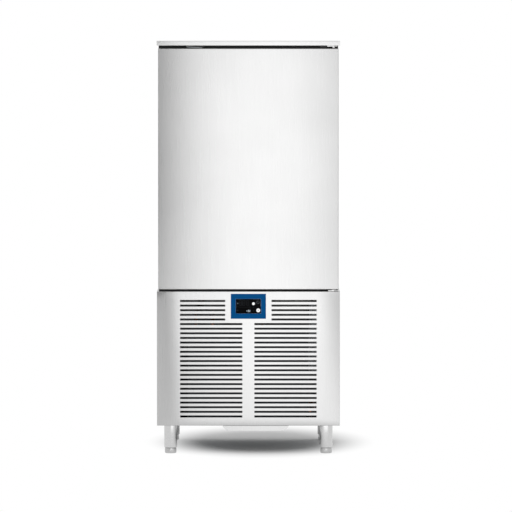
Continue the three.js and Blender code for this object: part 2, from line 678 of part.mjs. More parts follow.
function fanGuard(name, opening) {
  const outer = opening + 2 * GUARD_WIRE;
  const depth = [-GUARD_RISE, -GUARD_RISE + GUARD_WIRE];
  const rings = Array.from({ length: GUARD_RINGS }, (_, i) => {
    const edge = (outer * (i + 1)) / GUARD_RINGS;
    return turn(
      [
        [edge - GUARD_WIRE, depth[0]],
        [edge, depth[0]],
        [edge, depth[1]],
        [edge - GUARD_WIRE, depth[1]],
      ],
      ROUND_SIDES,
    );
  });
  const first = outer / GUARD_RINGS - GUARD_WIRE / 2;
  const spokes = [0, 1, 2, 3].flatMap((quarter) => {
    const reach = outer - GUARD_WIRE / 2;
    const spoke = block([first, reach], depth, both(GUARD_WIRE / 2));
    const foot = block([outer - GUARD_WIRE, outer], [depth[0], -FIT], both(GUARD_WIRE));
    return [spoke, foot].map((shape) => shape.rotateY((quarter * Math.PI) / 2));
  });
  return piece(name, join(...rings, ...spokes), POLISHED);
}

function evaporatorFan(level, side) {
  const opening = FAN_RADIUS + FAN_TIP_PLAY;
  const motorFront = FAN_BLADE_DEPTH + FAN_HUB_DEPTH / 2 + FAN_MOTOR_GAP;
  const blade = fanBlade(`${level}_fan_blade`, {
    radius: FAN_RADIUS,
    hubRadius: FAN_HUB_RADIUS,
    hubDepth: FAN_HUB_DEPTH,
    shaftRadius: FAN_SHAFT_RADIUS,
  });
  const motor = fanMotor(`${level}_fan_motor`, {
    radius: FAN_MOTOR_RADIUS,
    depth: FAN_MOTOR_DEPTH,
    shaftRadius: FAN_SHAFT_RADIUS,
    shaftReach: motorFront - FAN_BLADE_DEPTH,
    seatRadius: opening + 2 * SHEET,
    seatDepth: motorFront - SHEET - FIT,
  });
  blade.position.y = FAN_BLADE_DEPTH;
  motor.position.y = motorFront;
  const axis = [0, FAN_PANEL_FRONT, CELL_MIDDLE + (side * FAN_SPACING) / 2];
  return groupAt(axis, fanGuard(`${level}_fan_guard`, opening), blade, motor);
}

// ---------------------------------------------------------------- door, hung on its pin axis

const DOOR_X = DOOR_WIDTH / 2;
const GRIP_Y = span(FRONT + GRIP_LIP, GRIP_MOUTH);

// Plan of the door with its finger channel, drawn a wall's thickness inside its skin.
function doorPlan(inset, rear) {
  const channelX = -DOOR_X + GRIP_REACH + inset;
  return outline([
    [DOOR_X - inset, FRONT + inset],
    [DOOR_X - inset, rear],
    [-DOOR_X + inset, rear],
    [-DOOR_X + inset, GRIP_Y[1] + inset],
    [channelX, GRIP_Y[1] + inset],
    [channelX, GRIP_Y[0] - inset],
    [-DOOR_X + inset, GRIP_Y[0] - inset],
    [-DOOR_X + inset, FRONT + inset],
  ]);
}

const onHinge = (name, shape, look) => {
  const mesh = piece(name, shape, look);
  mesh.geometry.translate(-HINGE_X, -HINGE_Y, 0);
  return mesh;
};

function bushPockets() {
  const depths = [
    [DOOR_TOP - PIN_REACH, DOOR_TOP],
    [DOOR_BOTTOM, DOOR_BOTTOM + PIN_REACH],
  ];
  return depths.map((z) => rod(BUSH_RADIUS + FIT, insetPair(z, -FIT), HINGE_X, HINGE_Y, PIN_SIDES));
}

function doorOuterPanel() {
  const outer = raise(doorPlan(0, DOOR_REAR), [DOOR_BOTTOM, DOOR_TOP]);
  const hollow = raise(doorPlan(SHEET, DOOR_REAR + SHEET), insetPair([DOOR_BOTTOM, DOOR_TOP], SHEET));
  return onHinge("door_outer_panel", cut(outer, hollow, ...bushPockets()), STAINLESS);
}

const INNER_PANEL_Y = [DOOR_REAR - SHEET, DOOR_REAR];

function doorInsulation() {
  const inset = SHEET + FIT;
  const foam = raise(
    doorPlan(inset, INNER_PANEL_Y[0] - FIT),
    insetPair([DOOR_BOTTOM, DOOR_TOP], inset),
  );
  return onHinge("door_insulation", cut(foam, ...bushPockets()), FOAM);
}

const SEAL_INNER_X = both(INSIDE_X + SEAL_INSET);
const SEAL_INNER_Z = insetPair(INSIDE_Z, -SEAL_INSET);

function doorInnerPanel() {
  const inset = SHEET + FIT;
  const sheet = block(both(DOOR_X - inset), INNER_PANEL_Y, insetPair([DOOR_BOTTOM, DOOR_TOP], inset));
  const fieldX = insetPair(SEAL_INNER_X, PLUG_MARGIN);
  const fieldZ = insetPair(SEAL_INNER_Z, PLUG_MARGIN);
  const field = block(fieldX, [INNER_PANEL_Y[0], DOOR_REAR + PLUG_RISE], fieldZ);
  const hollow = block(
    insetPair(fieldX, SHEET),
    [INNER_PANEL_Y[0] - SHEET, DOOR_REAR + PLUG_RISE - SHEET],
    insetPair(fieldZ, SHEET),
  );
  return onHinge("door_inner_panel", cut(join(sheet, field), hollow), STAINLESS);
}

function ring(innerX, innerZ, grow, width, y) {
  const shape = rectangle(insetPair(innerX, -grow - width), insetPair(innerZ, -grow - width));
  shape.holes.push(rectangle(insetPair(innerX, -grow), insetPair(innerZ, -grow)));
  return carry(shape, y);
}

function doorGasket() {
  const foot = [DOOR_REAR + FIT, DOOR_REAR + FIT + SEAL_BASE];
  const lip = [DOOR_REAR + SEAL_BASE, CELL_FRONT - FIT];
  const lipWidth = SEAL_WIDTH - 2 * SEAL_LIP_INSET;
  const seal = join(
    ring(SEAL_INNER_X, SEAL_INNER_Z, 0, SEAL_WIDTH, foot),
    ring(SEAL_INNER_X, SEAL_INNER_Z, SEAL_LIP_INSET, lipWidth, lip),
  );
  return onHinge("door_gasket", seal, GREY_RUBBER);
}

// A flanged bush let into the door's end: up is 1 for the top end and -1 for the bottom one.
function hingeBush(name, end, up) {
  const profile = [
    [BORE_RADIUS, end - up * PIN_REACH],
    [BUSH_RADIUS, end - up * PIN_REACH],
    [BUSH_RADIUS, end + up * FIT],
    [BUSH_FLANGE_RADIUS, end + up * FIT],
    [BUSH_FLANGE_RADIUS, end + up * BUSH_FLANGE],
    [BORE_RADIUS, end + up * BUSH_FLANGE],
  ];
  return piece(name, post(profile, PIN_SIDES), BLACK_PLASTIC);
}

function door() {
  return groupAt(
    [HINGE_X, HINGE_Y, 0],
    doorOuterPanel(),
    doorInsulation(),
    doorInnerPanel(),
    doorGasket(),
    hingeBush("upper_hinge_bush", DOOR_TOP, 1),
    hingeBush("lower_hinge_bush", DOOR_BOTTOM, -1),
  );
}

// ---------------------------------------------------------------- hinge brackets and door switch

const bracketX = (middle) => [middle - BRACKET_WIDTH / 2, middle + BRACKET_WIDTH / 2];
const BRACKET_Y = [HINGE_Y - BUSH_FLANGE_RADIUS, CELL_FRONT - FIT];

function upperHingeBracket() {
  const bottom = CELL_TOP - UPPER_BRACKET;
  const plate = block(bracketX(HINGE_X - BRACKET_OFFSET), BRACKET_Y, [bottom, CELL_TOP]);
  const pinZ = [DOOR_TOP - PIN_REACH + FIT, CELL_TOP - SHEET];
  const pin = rod(PIN_RADIUS, pinZ, HINGE_X, HINGE_Y, PIN_SIDES);
  return piece("upper_hinge_bracket", join(plate, pin), STAINLESS);
}

function lowerHingeBracket() {
  const top = CELL_BOTTOM + LOWER_BRACKET;
  const plate = block(bracketX(HINGE_X), BRACKET_Y, [CELL_BOTTOM, top]);
  const seatZ = [CELL_BOTTOM + SHEET, DOOR_BOTTOM - BUSH_FLANGE - FIT];
  const seat = rod(BOSS_RADIUS, seatZ, HINGE_X, HINGE_Y, PIN_SIDES);
  const pin = rod(PIN_RADIUS, [top, DOOR_BOTTOM + PIN_REACH - FIT], HINGE_X, HINGE_Y, PIN_SIDES);
  return piece("lower_hinge_bracket", join(plate, seat, pin), STAINLESS);
}

function doorSwitch() {
  const [left, right] = span(-DOOR_X + SWITCH_INSET, SWITCH_LENGTH);
  const low = DOOR_TOP + SWITCH_CLEARANCE;
  const housing = outline([
    [left, CELL_TOP],
    [left, CELL_TOP - SWITCH_THIN_RISE],
    [right - SWITCH_FLAT, low],
    [right, low],
    [right, CELL_TOP],
  ]);
  const near = FRONT + SWITCH_SETBACK;
  return piece("door_switch", carry(housing, span(near, SWITCH_DEPTH)), BLACK_PLASTIC);
}

// ---------------------------------------------------------------- base

function slot([inner, outer], height, z, side, depth) {
  return block([side * inner, side * outer], depth, [z - height / 2, z + height / 2]);
}

const WINDOW_X = both(WINDOW_WIDTH / 2);
const WINDOW_Z = [WINDOW_TOP - WINDOW_HEIGHT, WINDOW_TOP];

const SLOT_ROWS = Math.floor((BASE_HEIGHT - FIRST_SLOT - LAST_SLOT) / SLOT_PITCH) + 1;
const SLOT_OUTER = WIDTH / 2 - SLOT_MARGIN;
const SHORT_SLOT_INNER = FASCIA_WIDTH / 2 + FASCIA_MARGIN;

function frontGrillePanel() {
  const folded = block(both(WIDTH / 2), span(FRONT, RETURN), [LEG_HEIGHT, BASE_TOP]);
  const inside = block(
    both(WIDTH / 2 - SHEET),
    [PANEL_REAR, FRONT + 2 * RETURN],
    [LEG_HEIGHT + SHEET, BASE_TOP - SHEET],
  );
  const through = [FRONT - SHEET, PANEL_REAR + SHEET];
  const slots = Array.from({ length: SLOT_ROWS }, (_, row) => {
    const z = BASE_TOP - FIRST_SLOT - row * SLOT_PITCH;
    const inner = z + SLOT_HEIGHT / 2 > FASCIA_BOTTOM ? SHORT_SLOT_INNER : SLOT_INNER;
    return [-1, 1].map((side) => slot([inner, SLOT_OUTER], SLOT_HEIGHT, z, side, through));
  }).flat();
  const displayHole = block(
    insetPair(WINDOW_X, WINDOW_BEARING),
    through,
    insetPair(WINDOW_Z, WINDOW_BEARING),
  );
  return piece("front_grille_panel", cut(folded, inside, ...slots, displayHole), STAINLESS);
}

function baseSide(name, side) {
  const outer = (side * WIDTH) / 2;
  const height = [LEG_HEIGHT, BASE_TOP];
  const skin = block([outer, outer - side * SHEET], [SIDE_FRONT, REAR], height);
  const fold = block([outer, outer - side * REAR_FLANGE], [REAR - SHEET, REAR], height);
  return piece(name, join(skin, fold), STAINLESS);
}

const REAR_SLOT_ROOM = BASE_HEIGHT - FIRST_REAR_SLOT - LAST_REAR_SLOT;
const REAR_SLOT_ROWS = Math.floor(REAR_SLOT_ROOM / REAR_SLOT_PITCH) + 1;

function baseRearPanel() {
  const sheet = block(both(BASE_INNER_X), [BACK_PANEL - SHEET, BACK_PANEL], [
    LEG_HEIGHT,
    DECK_BOTTOM - FIT,
  ]);
  const through = [BACK_PANEL - 2 * SHEET, BACK_PANEL + SHEET];
  const slots = Array.from({ length: REAR_SLOT_ROWS }, (_, row) => {
    const z = BASE_TOP - FIRST_REAR_SLOT - row * REAR_SLOT_PITCH;
    const across = [REAR_SLOT_INNER, WIDTH / 2 - REAR_SLOT_MARGIN];
    return [-1, 1].map((side) => slot(across, REAR_SLOT_HEIGHT, z, side, through));
  }).flat();
  const glandHole = bar(GLAND.radius + FIT, through, GLAND_X, LEG_HEIGHT + GLAND.rise);
  return piece("base_rear_panel", cut(sheet, ...slots, glandHole), STAINLESS);
}

function baseDeck() {
  const sheet = block(both(BASE_INNER_X), [SIDE_FRONT, BACK_PANEL], [DECK_BOTTOM, BASE_TOP]);
  const holes = floorHoles(LINE_PLAY, DECK_BOTTOM - SHEET, BASE_TOP + SHEET);
  return piece("base_deck", cut(sheet, ...holes), STAINLESS);
}

const RAIL_WALL = TRAY_WIDTH / 2;
const TROUGH_HALF = TRAY_WIDTH / 2 - TROUGH_INSET;
const TRAY_Y = span(TRAY_FACE, TRAY_DEPTH);
const RAIL_Y = [TRAY_FACE + RAIL_SETBACK, TRAY_Y[1] + SHEET];

function baseTray() {
  const floorX = both(BASE_INNER_X);
  const floorY = [SIDE_FRONT, FLOOR_REAR];
  const shell = block(floorX, floorY, span(LEG_HEIGHT, FLOOR_SHEET + FLOOR_FLANGE));
  const hollow = block(insetPair(floorX, FLOOR_SHEET), insetPair(floorY, FLOOR_SHEET), [
    LEG_HEIGHT + FLOOR_SHEET,
    LEG_HEIGHT + FLOOR_SHEET + 2 * FLOOR_FLANGE,
  ]);
  const lipTop = FLANGE_BOTTOM - FIT;
  const rails = [-1, 1].flatMap((side) => {
    const wall = TRAY_X + side * RAIL_WALL;
    const web = block([wall, wall - side * SHEET], RAIL_Y, [lipTop - SHEET, LEG_HEIGHT + SHEET]);
    const lip = block([wall, wall - side * RAIL_LIP], RAIL_Y, [lipTop - SHEET, lipTop]);
    return [web, lip];
  });
  const drainHole = floorHoles(LINE_PLAY, LEG_HEIGHT - SHEET, LEG_HEIGHT + WALL)[2];
  return piece("base_tray", cut(join(cut(shell, hollow), ...rails), drainHole), GALVANISED);
}

// Section of the drip tray: upright sides over slanted lower corners.
function traySection(half, bevel, bottom, top) {
  return outline([
    [-half, top],
    [-half, bottom + bevel],
    [-half + bevel, bottom],
    [half - bevel, bottom],
    [half, bottom + bevel],
    [half, top],
  ]);
}

function dripTray() {
  const face = carry(
    traySection(TRAY_WIDTH / 2, TRAY_BEVEL, TRAY_BOTTOM, TRAY_TOP),
    span(TRAY_FACE, SHEET),
  );
  const bottom = TRAY_BOTTOM + SHEET;
  const trough = carry(traySection(TROUGH_HALF, TROUGH_BEVEL, bottom, FLANGE_TOP), TRAY_Y);
  const flange = block(both(TROUGH_HALF + TRAY_FLANGE), TRAY_Y, [FLANGE_BOTTOM, FLANGE_TOP]);
  const hollow = carry(
    traySection(TROUGH_HALF - SHEET, TROUGH_BEVEL - SHEET / 2, bottom + SHEET, FLANGE_TOP + SHEET),
    insetPair(TRAY_Y, SHEET),
  );
  const tray = cut(join(face, trough, flange), hollow);
  return groupAt([TRAY_X, 0, 0], piece("drip_tray", tray, STAINLESS));
}

// ---------------------------------------------------------------- controls

function controlFascia() {
  const height = [FASCIA_BOTTOM, FASCIA_TOP];
  const plate = block(both(FASCIA_WIDTH / 2), span(BEZEL_REAR, -FASCIA_THICKNESS), height);
  const through = [BEZEL_REAR - 2 * FASCIA_THICKNESS, BEZEL_REAR + FASCIA_THICKNESS];
  const opening = block(insetPair(WINDOW_X, -FIT), through, insetPair(WINDOW_Z, -FIT));
  return piece("control_fascia", cut(plate, opening), BLUE_FASCIA);
}

function displayWindow() {
  const pane = block(WINDOW_X, span(BEZEL_REAR, -WINDOW_THICKNESS), WINDOW_Z);
  const through = [BEZEL_REAR - 2 * WINDOW_THICKNESS, BEZEL_REAR + WINDOW_THICKNESS];
  const holes = [START_BUTTON, POWER_BUTTON].map(({ radius, fromRight, drop }) =>
    bar(radius + RUNNING, through, WINDOW_X[1] - fromRight, WINDOW_TOP - drop, PIN_SIDES),
  );
  return piece("display_window", cut(pane, ...holes), BLACK_GLASS);
}

const COLLAR_FRONT = WINDOW_THICKNESS + FIT;
const STEM_END = COLLAR_FRONT + COLLAR_THICKNESS + BUTTON_STEM_LENGTH;

// A push button about its own Y axis, its window's face at zero.
function pushButton(name, { radius, fromRight, drop }) {
  const profile = [
    [0, -BUTTON_PROUD],
    [radius - BUTTON_EDGE, -BUTTON_PROUD],
    [radius, -BUTTON_PROUD + BUTTON_EDGE],
    [radius, COLLAR_FRONT],
    [radius + COLLAR_EXTRA, COLLAR_FRONT],
    [radius + COLLAR_EXTRA, COLLAR_FRONT + COLLAR_THICKNESS],
    [BUTTON_STEM_RADIUS, COLLAR_FRONT + COLLAR_THICKNESS],
    [BUTTON_STEM_RADIUS, STEM_END],
    [0, STEM_END],
  ];
  const button = piece(name, turn(profile, PIN_SIDES), WHITE_PLASTIC);
  const face = BEZEL_REAR - WINDOW_THICKNESS;
  return groupAt([WINDOW_X[1] - fromRight, face, WINDOW_TOP - drop], button);
}

function controlHousing() {
  const x = insetPair(WINDOW_X, -HOUSING_MARGIN);
  const z = insetPair(WINDOW_Z, -HOUSING_MARGIN);
  const y = span(PANEL_REAR + FIT, HOUSING_DEPTH);
  const boardFront = BEZEL_REAR - WINDOW_THICKNESS + STEM_END + BUTTON_TRAVEL + FIT;
  const shell = block(x, y, z);
  const insideX = insetPair(x, HOUSING_WALL);
  const insideZ = insetPair(z, HOUSING_WALL);
  const recess = block(insideX, [y[0] - HOUSING_WALL, boardFront], insideZ);
  const back = block(insideX, [boardFront + HOUSING_WALL, y[1] + HOUSING_WALL], insideZ);
  return piece("control_housing", cut(shell, recess, back), GREY_PLASTIC);
}

// ---------------------------------------------------------------- refrigeration set

function condenserCoil() {
  const size = {
    width: CONDENSER_WIDTH,
    height: CONDENSER_HEIGHT,
    y: [CONDENSER_FRONT, CONDENSER_REAR],
    bottom: FLOOR_TOP,
    fins: CONDENSER_FINS,
    endDepth: CONDENSER_REAR,
  };
  return finnedCoil("condenser_coil", size, ALUMINIUM);
}

const CONDENSER_AXIS_Z = FLOOR_TOP + CONDENSER_HEIGHT / 2;

function condenserShroud() {
  const x = both(CONDENSER_WIDTH / 2);
  const z = [FLOOR_TOP, CONDENSER_TOP];
  const near = CONDENSER_REAR + FIT;
  const opening = CONDENSER_FAN_RADIUS + CONDENSER_TIP_PLAY;
  const shell = block(x, [near, SHROUD_REAR], z);
  const hollow = block(insetPair(x, SHEET), [near - SHEET, SHROUD_REAR - SHEET], insetPair(z, SHEET));
  const collar = [SHROUD_REAR - SHEET, SHROUD_REAR + CONDENSER_RING];
  const outer = bar(opening + SHEET, collar, 0, CONDENSER_AXIS_Z, RING_SIDES);
  const mouth = bar(opening, insetPair(collar, -2 * SHEET), 0, CONDENSER_AXIS_Z, RING_SIDES);
  return piece("condenser_shroud", cut(join(cut(shell, hollow), outer), mouth), BLACK_PAINT);
}

function condenserFan() {
  const bladeMiddle = CONDENSER_MOTOR_GAP - CONDENSER_BLADE_GAP;
  const blade = fanBlade("condenser_fan_blade", {
    radius: CONDENSER_FAN_RADIUS,
    hubRadius: CONDENSER_HUB_RADIUS,
    hubDepth: CONDENSER_HUB_DEPTH,
    shaftRadius: CONDENSER_SHAFT_RADIUS,
  });
  const motor = fanMotor("condenser_fan_motor", {
    radius: CONDENSER_MOTOR_RADIUS,
    depth: CONDENSER_MOTOR_DEPTH,
    shaftRadius: CONDENSER_SHAFT_RADIUS,
    shaftReach: CONDENSER_MOTOR_GAP - bladeMiddle,
    seatRadius: CONDENSER_FAN_RADIUS + CONDENSER_TIP_PLAY + 3 * SHEET,
    seatDepth: CONDENSER_MOTOR_GAP - FIT,
  });
  blade.position.y = bladeMiddle;
  motor.position.y = CONDENSER_MOTOR_GAP;
  return groupAt([0, SHROUD_REAR, CONDENSER_AXIS_Z], blade, motor);
}

const COMPRESSOR_X = -WIDTH / 2 + COMPRESSOR.fromLeft;
const COMPRESSOR_Y = REAR - COMPRESSOR.fromRear;
const COMPRESSOR_TOP = GROMMET_HEIGHT + COMPRESSOR_FOOT_THICKNESS + COMPRESSOR.height;

function compressor() {
  const { radius, height } = COMPRESSOR;
  const plateZ = span(GROMMET_HEIGHT, COMPRESSOR_FOOT_THICKNESS);
  const plate = block(both(COMPRESSOR_FOOT / 2), both(COMPRESSOR_FOOT / 2), plateZ);
  const corner = COMPRESSOR_FOOT / 2 - GROMMET_RADIUS;
  const grommets = [-1, 1].flatMap((x) =>
    [-1, 1].map((y) => rod(GROMMET_RADIUS, [0, plateZ[1]], x * corner, y * corner, SMALL_SIDES)),
  );
  const shell = post(
    [
      [0, 0],
      [radius - SHELL.foot, 0],
      [radius, SHELL.foot],
      [radius, height - SHELL.shoulderDrop],
      [radius - SHELL.shoulder, height - SHELL.crownDrop],
      [radius - SHELL.crown, height],
      [0, height],
    ],
    PIN_SIDES,
  ).translate(0, 0, plateZ[0]);
  const terminals = block(
    [-radius - TERMINAL_BOX.reach, 0],
    both(TERMINAL_BOX.width / 2),
    span(plateZ[1] + TERMINAL_BOX.rise, TERMINAL_BOX.height),
  );
  const stubs = [SUCTION_STUB, DISCHARGE_STUB].map(({ x, y }) =>
    rod(STUB_RADIUS, [COMPRESSOR_TOP - height / 2, COMPRESSOR_TOP + STUB_RISE], x, y, SMALL_SIDES),
  );
  const set = piece("compressor", join(plate, ...grommets, shell, terminals, ...stubs), BLACK_PAINT);
  return groupAt([COMPRESSOR_X, COMPRESSOR_Y, FLOOR_TOP], set);
}

const STUB_END = FLOOR_TOP + COMPRESSOR_TOP + STUB_RISE + FIT;
const LINE_LEVEL = (STUB_END + DECK_BOTTOM) / 2;

function suctionLine() {
  const x = COMPRESSOR_X + SUCTION_STUB.x;
  const y = COMPRESSOR_Y + SUCTION_STUB.y;
  const route = [
    [x, y, STUB_END],
    [x, y, LINE_LEVEL],
    [SUCTION_RISER_X, RISER_Y, LINE_LEVEL + LINE_BEND],
    [SUCTION_RISER_X, RISER_Y, COIL_BOTTOM - FIT],
  ];
  return piece("suction_line", tube(route, SUCTION_RADIUS, LINE_BEND), COPPER);
}

function dischargeLine() {
  const x = COMPRESSOR_X + DISCHARGE_STUB.x;
  const y = COMPRESSOR_Y + DISCHARGE_STUB.y;
  const condenserY = (CONDENSER_FRONT + CONDENSER_REAR) / 2;
  const route = [
    [x, y, STUB_END],
    [x, y, LINE_LEVEL],
    [x, condenserY, LINE_LEVEL],
    [x, condenserY, CONDENSER_TOP + FIT],
  ];
  return piece("discharge_line", tube(route, DISCHARGE_RADIUS, LINE_BEND), COPPER);
}

const RECEIVER_Y = REAR - RECEIVER.fromRear;
const RECEIVER_TOP = FLOOR_TOP + RECEIVER.height;
const DRIER_BOTTOM = RECEIVER_TOP + DRIER_RISE;

function liquidReceiver() {
  const { x, radius, height } = RECEIVER;
  const tank = post(
    [
      [0, 0],
      [radius - TANK.skirt, 0],
      [radius - TANK.skirt, TANK.skirtHeight],
      [radius, TANK.shoulder],
      [radius, height - TANK.shoulder],
      [radius - TANK.crown, height - TANK.crownDrop],
      [TANK.cap, height],
      [0, height],
    ],
    ROUND_SIDES,
  ).translate(x, RECEIVER_Y, FLOOR_TOP);
  const outletZ = [RECEIVER_TOP - radius, DRIER_BOTTOM - FIT];
  const outlet = rod(LIQUID_RADIUS, outletZ, x, RECEIVER_Y, SMALL_SIDES);
  const level = FLOOR_TOP + RECEIVER_LINE_RISE;
  const condenserEnd = CONDENSER_WIDTH / 2;
  const condenserY = (CONDENSER_FRONT + CONDENSER_REAR) / 2;
  const inlet = tube(
    [
      [x + radius / 2, RECEIVER_Y, level],
      [condenserEnd + RECEIVER_LINE_OUT, RECEIVER_Y, level],
      [condenserEnd + RECEIVER_LINE_OUT, condenserY, level],
      [condenserEnd + FIT, condenserY, level],
    ],
    LIQUID_RADIUS,
    LINE_BEND / 2,
  );
  return piece("liquid_receiver", join(tank, outlet, inlet), BLACK_PAINT);
}

function filterDrier() {
  const neck = LIQUID_RADIUS + SHEET;
  const profile = [
    [0, 0],
    [neck, 0],
    [neck, DRIER_END],
    [DRIER_RADIUS, 2 * DRIER_END],
    [DRIER_RADIUS, DRIER_HEIGHT - 2 * DRIER_END],
    [neck, DRIER_HEIGHT - DRIER_END],
    [neck, DRIER_HEIGHT],
    [0, DRIER_HEIGHT],
  ];
  const drier = piece("filter_drier", post(profile, ROUND_SIDES), COPPER);
  return groupAt([RECEIVER.x, RECEIVER_Y, DRIER_BOTTOM], drier);
}

function liquidLine() {
  const start = DRIER_BOTTOM + DRIER_HEIGHT + FIT;
  const level = (start + DECK_BOTTOM) / 2;
  const route = [
    [RECEIVER.x, RECEIVER_Y, start],
    [RECEIVER.x, RECEIVER_Y, level],
    [LIQUID_RISER_X, RISER_Y, level],
    [LIQUID_RISER_X, RISER_Y, COIL_BOTTOM - FIT],
  ];
  return piece("liquid_line", tube(route, LIQUID_RADIUS, LINE_BEND / 2), COPPER);
}

function electricalBox() {
  const outer = BASE_INNER_X;
  const z = [LEG_HEIGHT + ELECTRICAL_BOX.rise, DECK_BOTTOM - ELECTRICAL_BOX.headroom];
  const shell = block([outer - ELECTRICAL_BOX.width, outer], ELECTRICAL_BOX.y, z);
  const rim = block(
    [outer - ELECTRICAL_BOX.width - 2 * SHEET, outer - ELECTRICAL_BOX.width + SHEET],
    insetPair(ELECTRICAL_BOX.y, -2 * SHEET),
    insetPair(z, -2 * SHEET),
  );
  return piece("electrical_box", join(shell, rim), GALVANISED);
}

// The mains cable's gland through the base's rear panel, turned about its own Y axis.
function cableGland() {
  const { radius, nut, nutDepth, reach, bore } = GLAND;
  const profile = [
    [bore, -SHEET - nut],
    [radius, -SHEET - nut],
    [radius, FIT],
    [nut, FIT],
    [nut, nutDepth],
    [radius, nutDepth],
    [radius, reach],
    [bore, reach],
  ];
  const gland = piece("cable_gland", turn(profile, ROUND_SIDES), BLACK_PLASTIC);
  return groupAt([GLAND_X, BACK_PANEL, LEG_HEIGHT + GLAND.rise], gland);
}

// ---------------------------------------------------------------- legs and feet

const LEG_X = WIDTH / 2 - LEG_INSET_X;
const LEG_Y = DEPTH / 2 - LEG_INSET_Y;
const BORE = STEM.radius + RUNNING;
const STEM_TOP = FOOT_HEIGHT + STEM.reach;

function leg(name) {
  const bottom = FOOT_HEIGHT + FIT;
  const top = LEG_HEIGHT - FIT;
  const profile = [
    [0, STEM_TOP + STEM.spare],
    [BORE, STEM_TOP + STEM.spare],
    [BORE, bottom],
    [LEG_RADIUS, bottom],
    [LEG_RADIUS, top],
    [0, top],
  ];
  return piece(name, post(profile, PIN_SIDES), POLISHED);
}

function foot(name) {
  const profile = [
    [0, 0],
    [FOOT_RADIUS - FOOT_EDGE, 0],
    [FOOT_RADIUS, FOOT_EDGE],
    [FOOT_RADIUS, FOOT_HEIGHT - FOOT_EDGE],
    [FOOT_RADIUS - FOOT_EDGE, FOOT_HEIGHT],
    [STEM.radius, FOOT_HEIGHT],
    [STEM.radius, STEM_TOP],
    [0, STEM_TOP],
  ];
  return piece(name, post(profile, PIN_SIDES), POLISHED);
}

function legs() {
  const corners = [
    ["front_left", -1, -1],
    ["front_right", 1, -1],
    ["rear_left", -1, 1],
    ["rear_right", 1, 1],
  ];
  return corners.map(([corner, x, y]) =>
    groupAt([x * LEG_X, y * LEG_Y, 0], leg(`${corner}_leg`), foot(`${corner}_foot`)),
  );
}

// ---------------------------------------------------------------- assembly

const chiller = new THREE.Group();
chiller.name = "blast_chiller";
chiller.add(
  roofPanel(),
  cellSide("left_side_panel", -1),
  cellSide("right_side_panel", 1),
  rearPanel(),
  frontFrame(),
  cellInsulation(),
  cellLiner(),
  drainPipe(),
  rack("left_rack", -1),
  rack("right_rack", 1),
  evaporatorCoil(),
  evaporatorFanPanel(),
  evaporatorFan("lower", -1),
  evaporatorFan("upper", 1),
  coreProbe(),
  door(),
  upperHingeBracket(),
  lowerHingeBracket(),
  doorSwitch(),
  frontGrillePanel(),
  baseSide("base_left_panel", -1),
  baseSide("base_right_panel", 1),
  baseRearPanel(),
  baseDeck(),
  baseTray(),
  dripTray(),
  controlFascia(),
  displayWindow(),
  pushButton("start_button", START_BUTTON),
  pushButton("power_button", POWER_BUTTON),
  controlHousing(),
  condenserCoil(),
  condenserShroud(),
  condenserFan(),
  compressor(),
  suctionLine(),
  dischargeLine(),
  liquidReceiver(),
  filterDrier(),
  liquidLine(),
  electricalBox(),
  cableGland(),
  ...legs(),
);

export default chiller;
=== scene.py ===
"""An upright blast chiller: one right-hung stainless door on an insulated cell, over a
ventilated base that holds the refrigeration set. Metres, +Z up, front towards -Y."""

import math

import bmesh
import bpy
from mathutils import Matrix, Vector


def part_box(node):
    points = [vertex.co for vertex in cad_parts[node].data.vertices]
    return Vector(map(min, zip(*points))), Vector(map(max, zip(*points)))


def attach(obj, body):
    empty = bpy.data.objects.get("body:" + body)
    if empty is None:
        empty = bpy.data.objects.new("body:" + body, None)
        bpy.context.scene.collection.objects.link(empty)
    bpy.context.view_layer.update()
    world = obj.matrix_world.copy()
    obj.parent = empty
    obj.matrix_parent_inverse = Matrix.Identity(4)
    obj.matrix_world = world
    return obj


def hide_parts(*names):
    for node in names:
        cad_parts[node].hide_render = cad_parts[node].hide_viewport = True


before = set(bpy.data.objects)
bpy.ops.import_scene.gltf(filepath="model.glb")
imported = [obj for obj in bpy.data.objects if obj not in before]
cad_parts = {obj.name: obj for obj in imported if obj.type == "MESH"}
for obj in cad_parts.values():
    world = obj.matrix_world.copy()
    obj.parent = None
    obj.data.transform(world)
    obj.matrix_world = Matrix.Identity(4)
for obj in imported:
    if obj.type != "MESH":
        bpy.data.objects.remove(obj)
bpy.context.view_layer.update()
scene = bpy.context.scene

# ---------------------------------------------------------------- camera
# A long lens on the middle of the front, a little above it and looking slightly down.

CAMERA_PLACE = Vector((0.033, -20.4, 1.78))
CAMERA_AIM = Vector((0.033, -0.4, 0.8575))
lens = bpy.data.cameras.new("camera")
lens.sensor_width = 36
lens.lens = 326.2
lens.clip_end = 60
camera = bpy.data.objects.new("camera", lens)
camera.location = CAMERA_PLACE
camera.rotation_euler = (CAMERA_AIM - CAMERA_PLACE).to_track_quat("-Z", "Y").to_euler()
scene.collection.objects.link(camera)
scene.camera = camera
scene.view_settings.view_transform = "Standard"

# ---------------------------------------------------------------- roof
# A shallow lid of satin-brushed stainless sheet. All four sides are folded down from a softly
# bent rim, and it is pushed down over the foamed cell.


def linear(code):
    """An sRGB hex colour as linear red, green, blue and alpha."""
    parts = [int(code[i : i + 2], 16) / 255 for i in (0, 2, 4)]
    return (*[p / 12.92 if p <= 0.04045 else ((p + 0.055) / 1.055) ** 2.4 for p in parts], 1.0)


def node(material, kind, inputs=None, **settings):
    """Adds a shader node: an input that is a socket is linked, and any other value is set."""
    made = material.node_tree.nodes.new("ShaderNode" + kind)
    for name, value in settings.items():
        setattr(made, name, value)
    for name, value in (inputs or {}).items():
        if isinstance(value, bpy.types.NodeSocket):
            material.node_tree.links.new(value, made.inputs[name])
        else:
            made.inputs[name].default_value = value
    return made


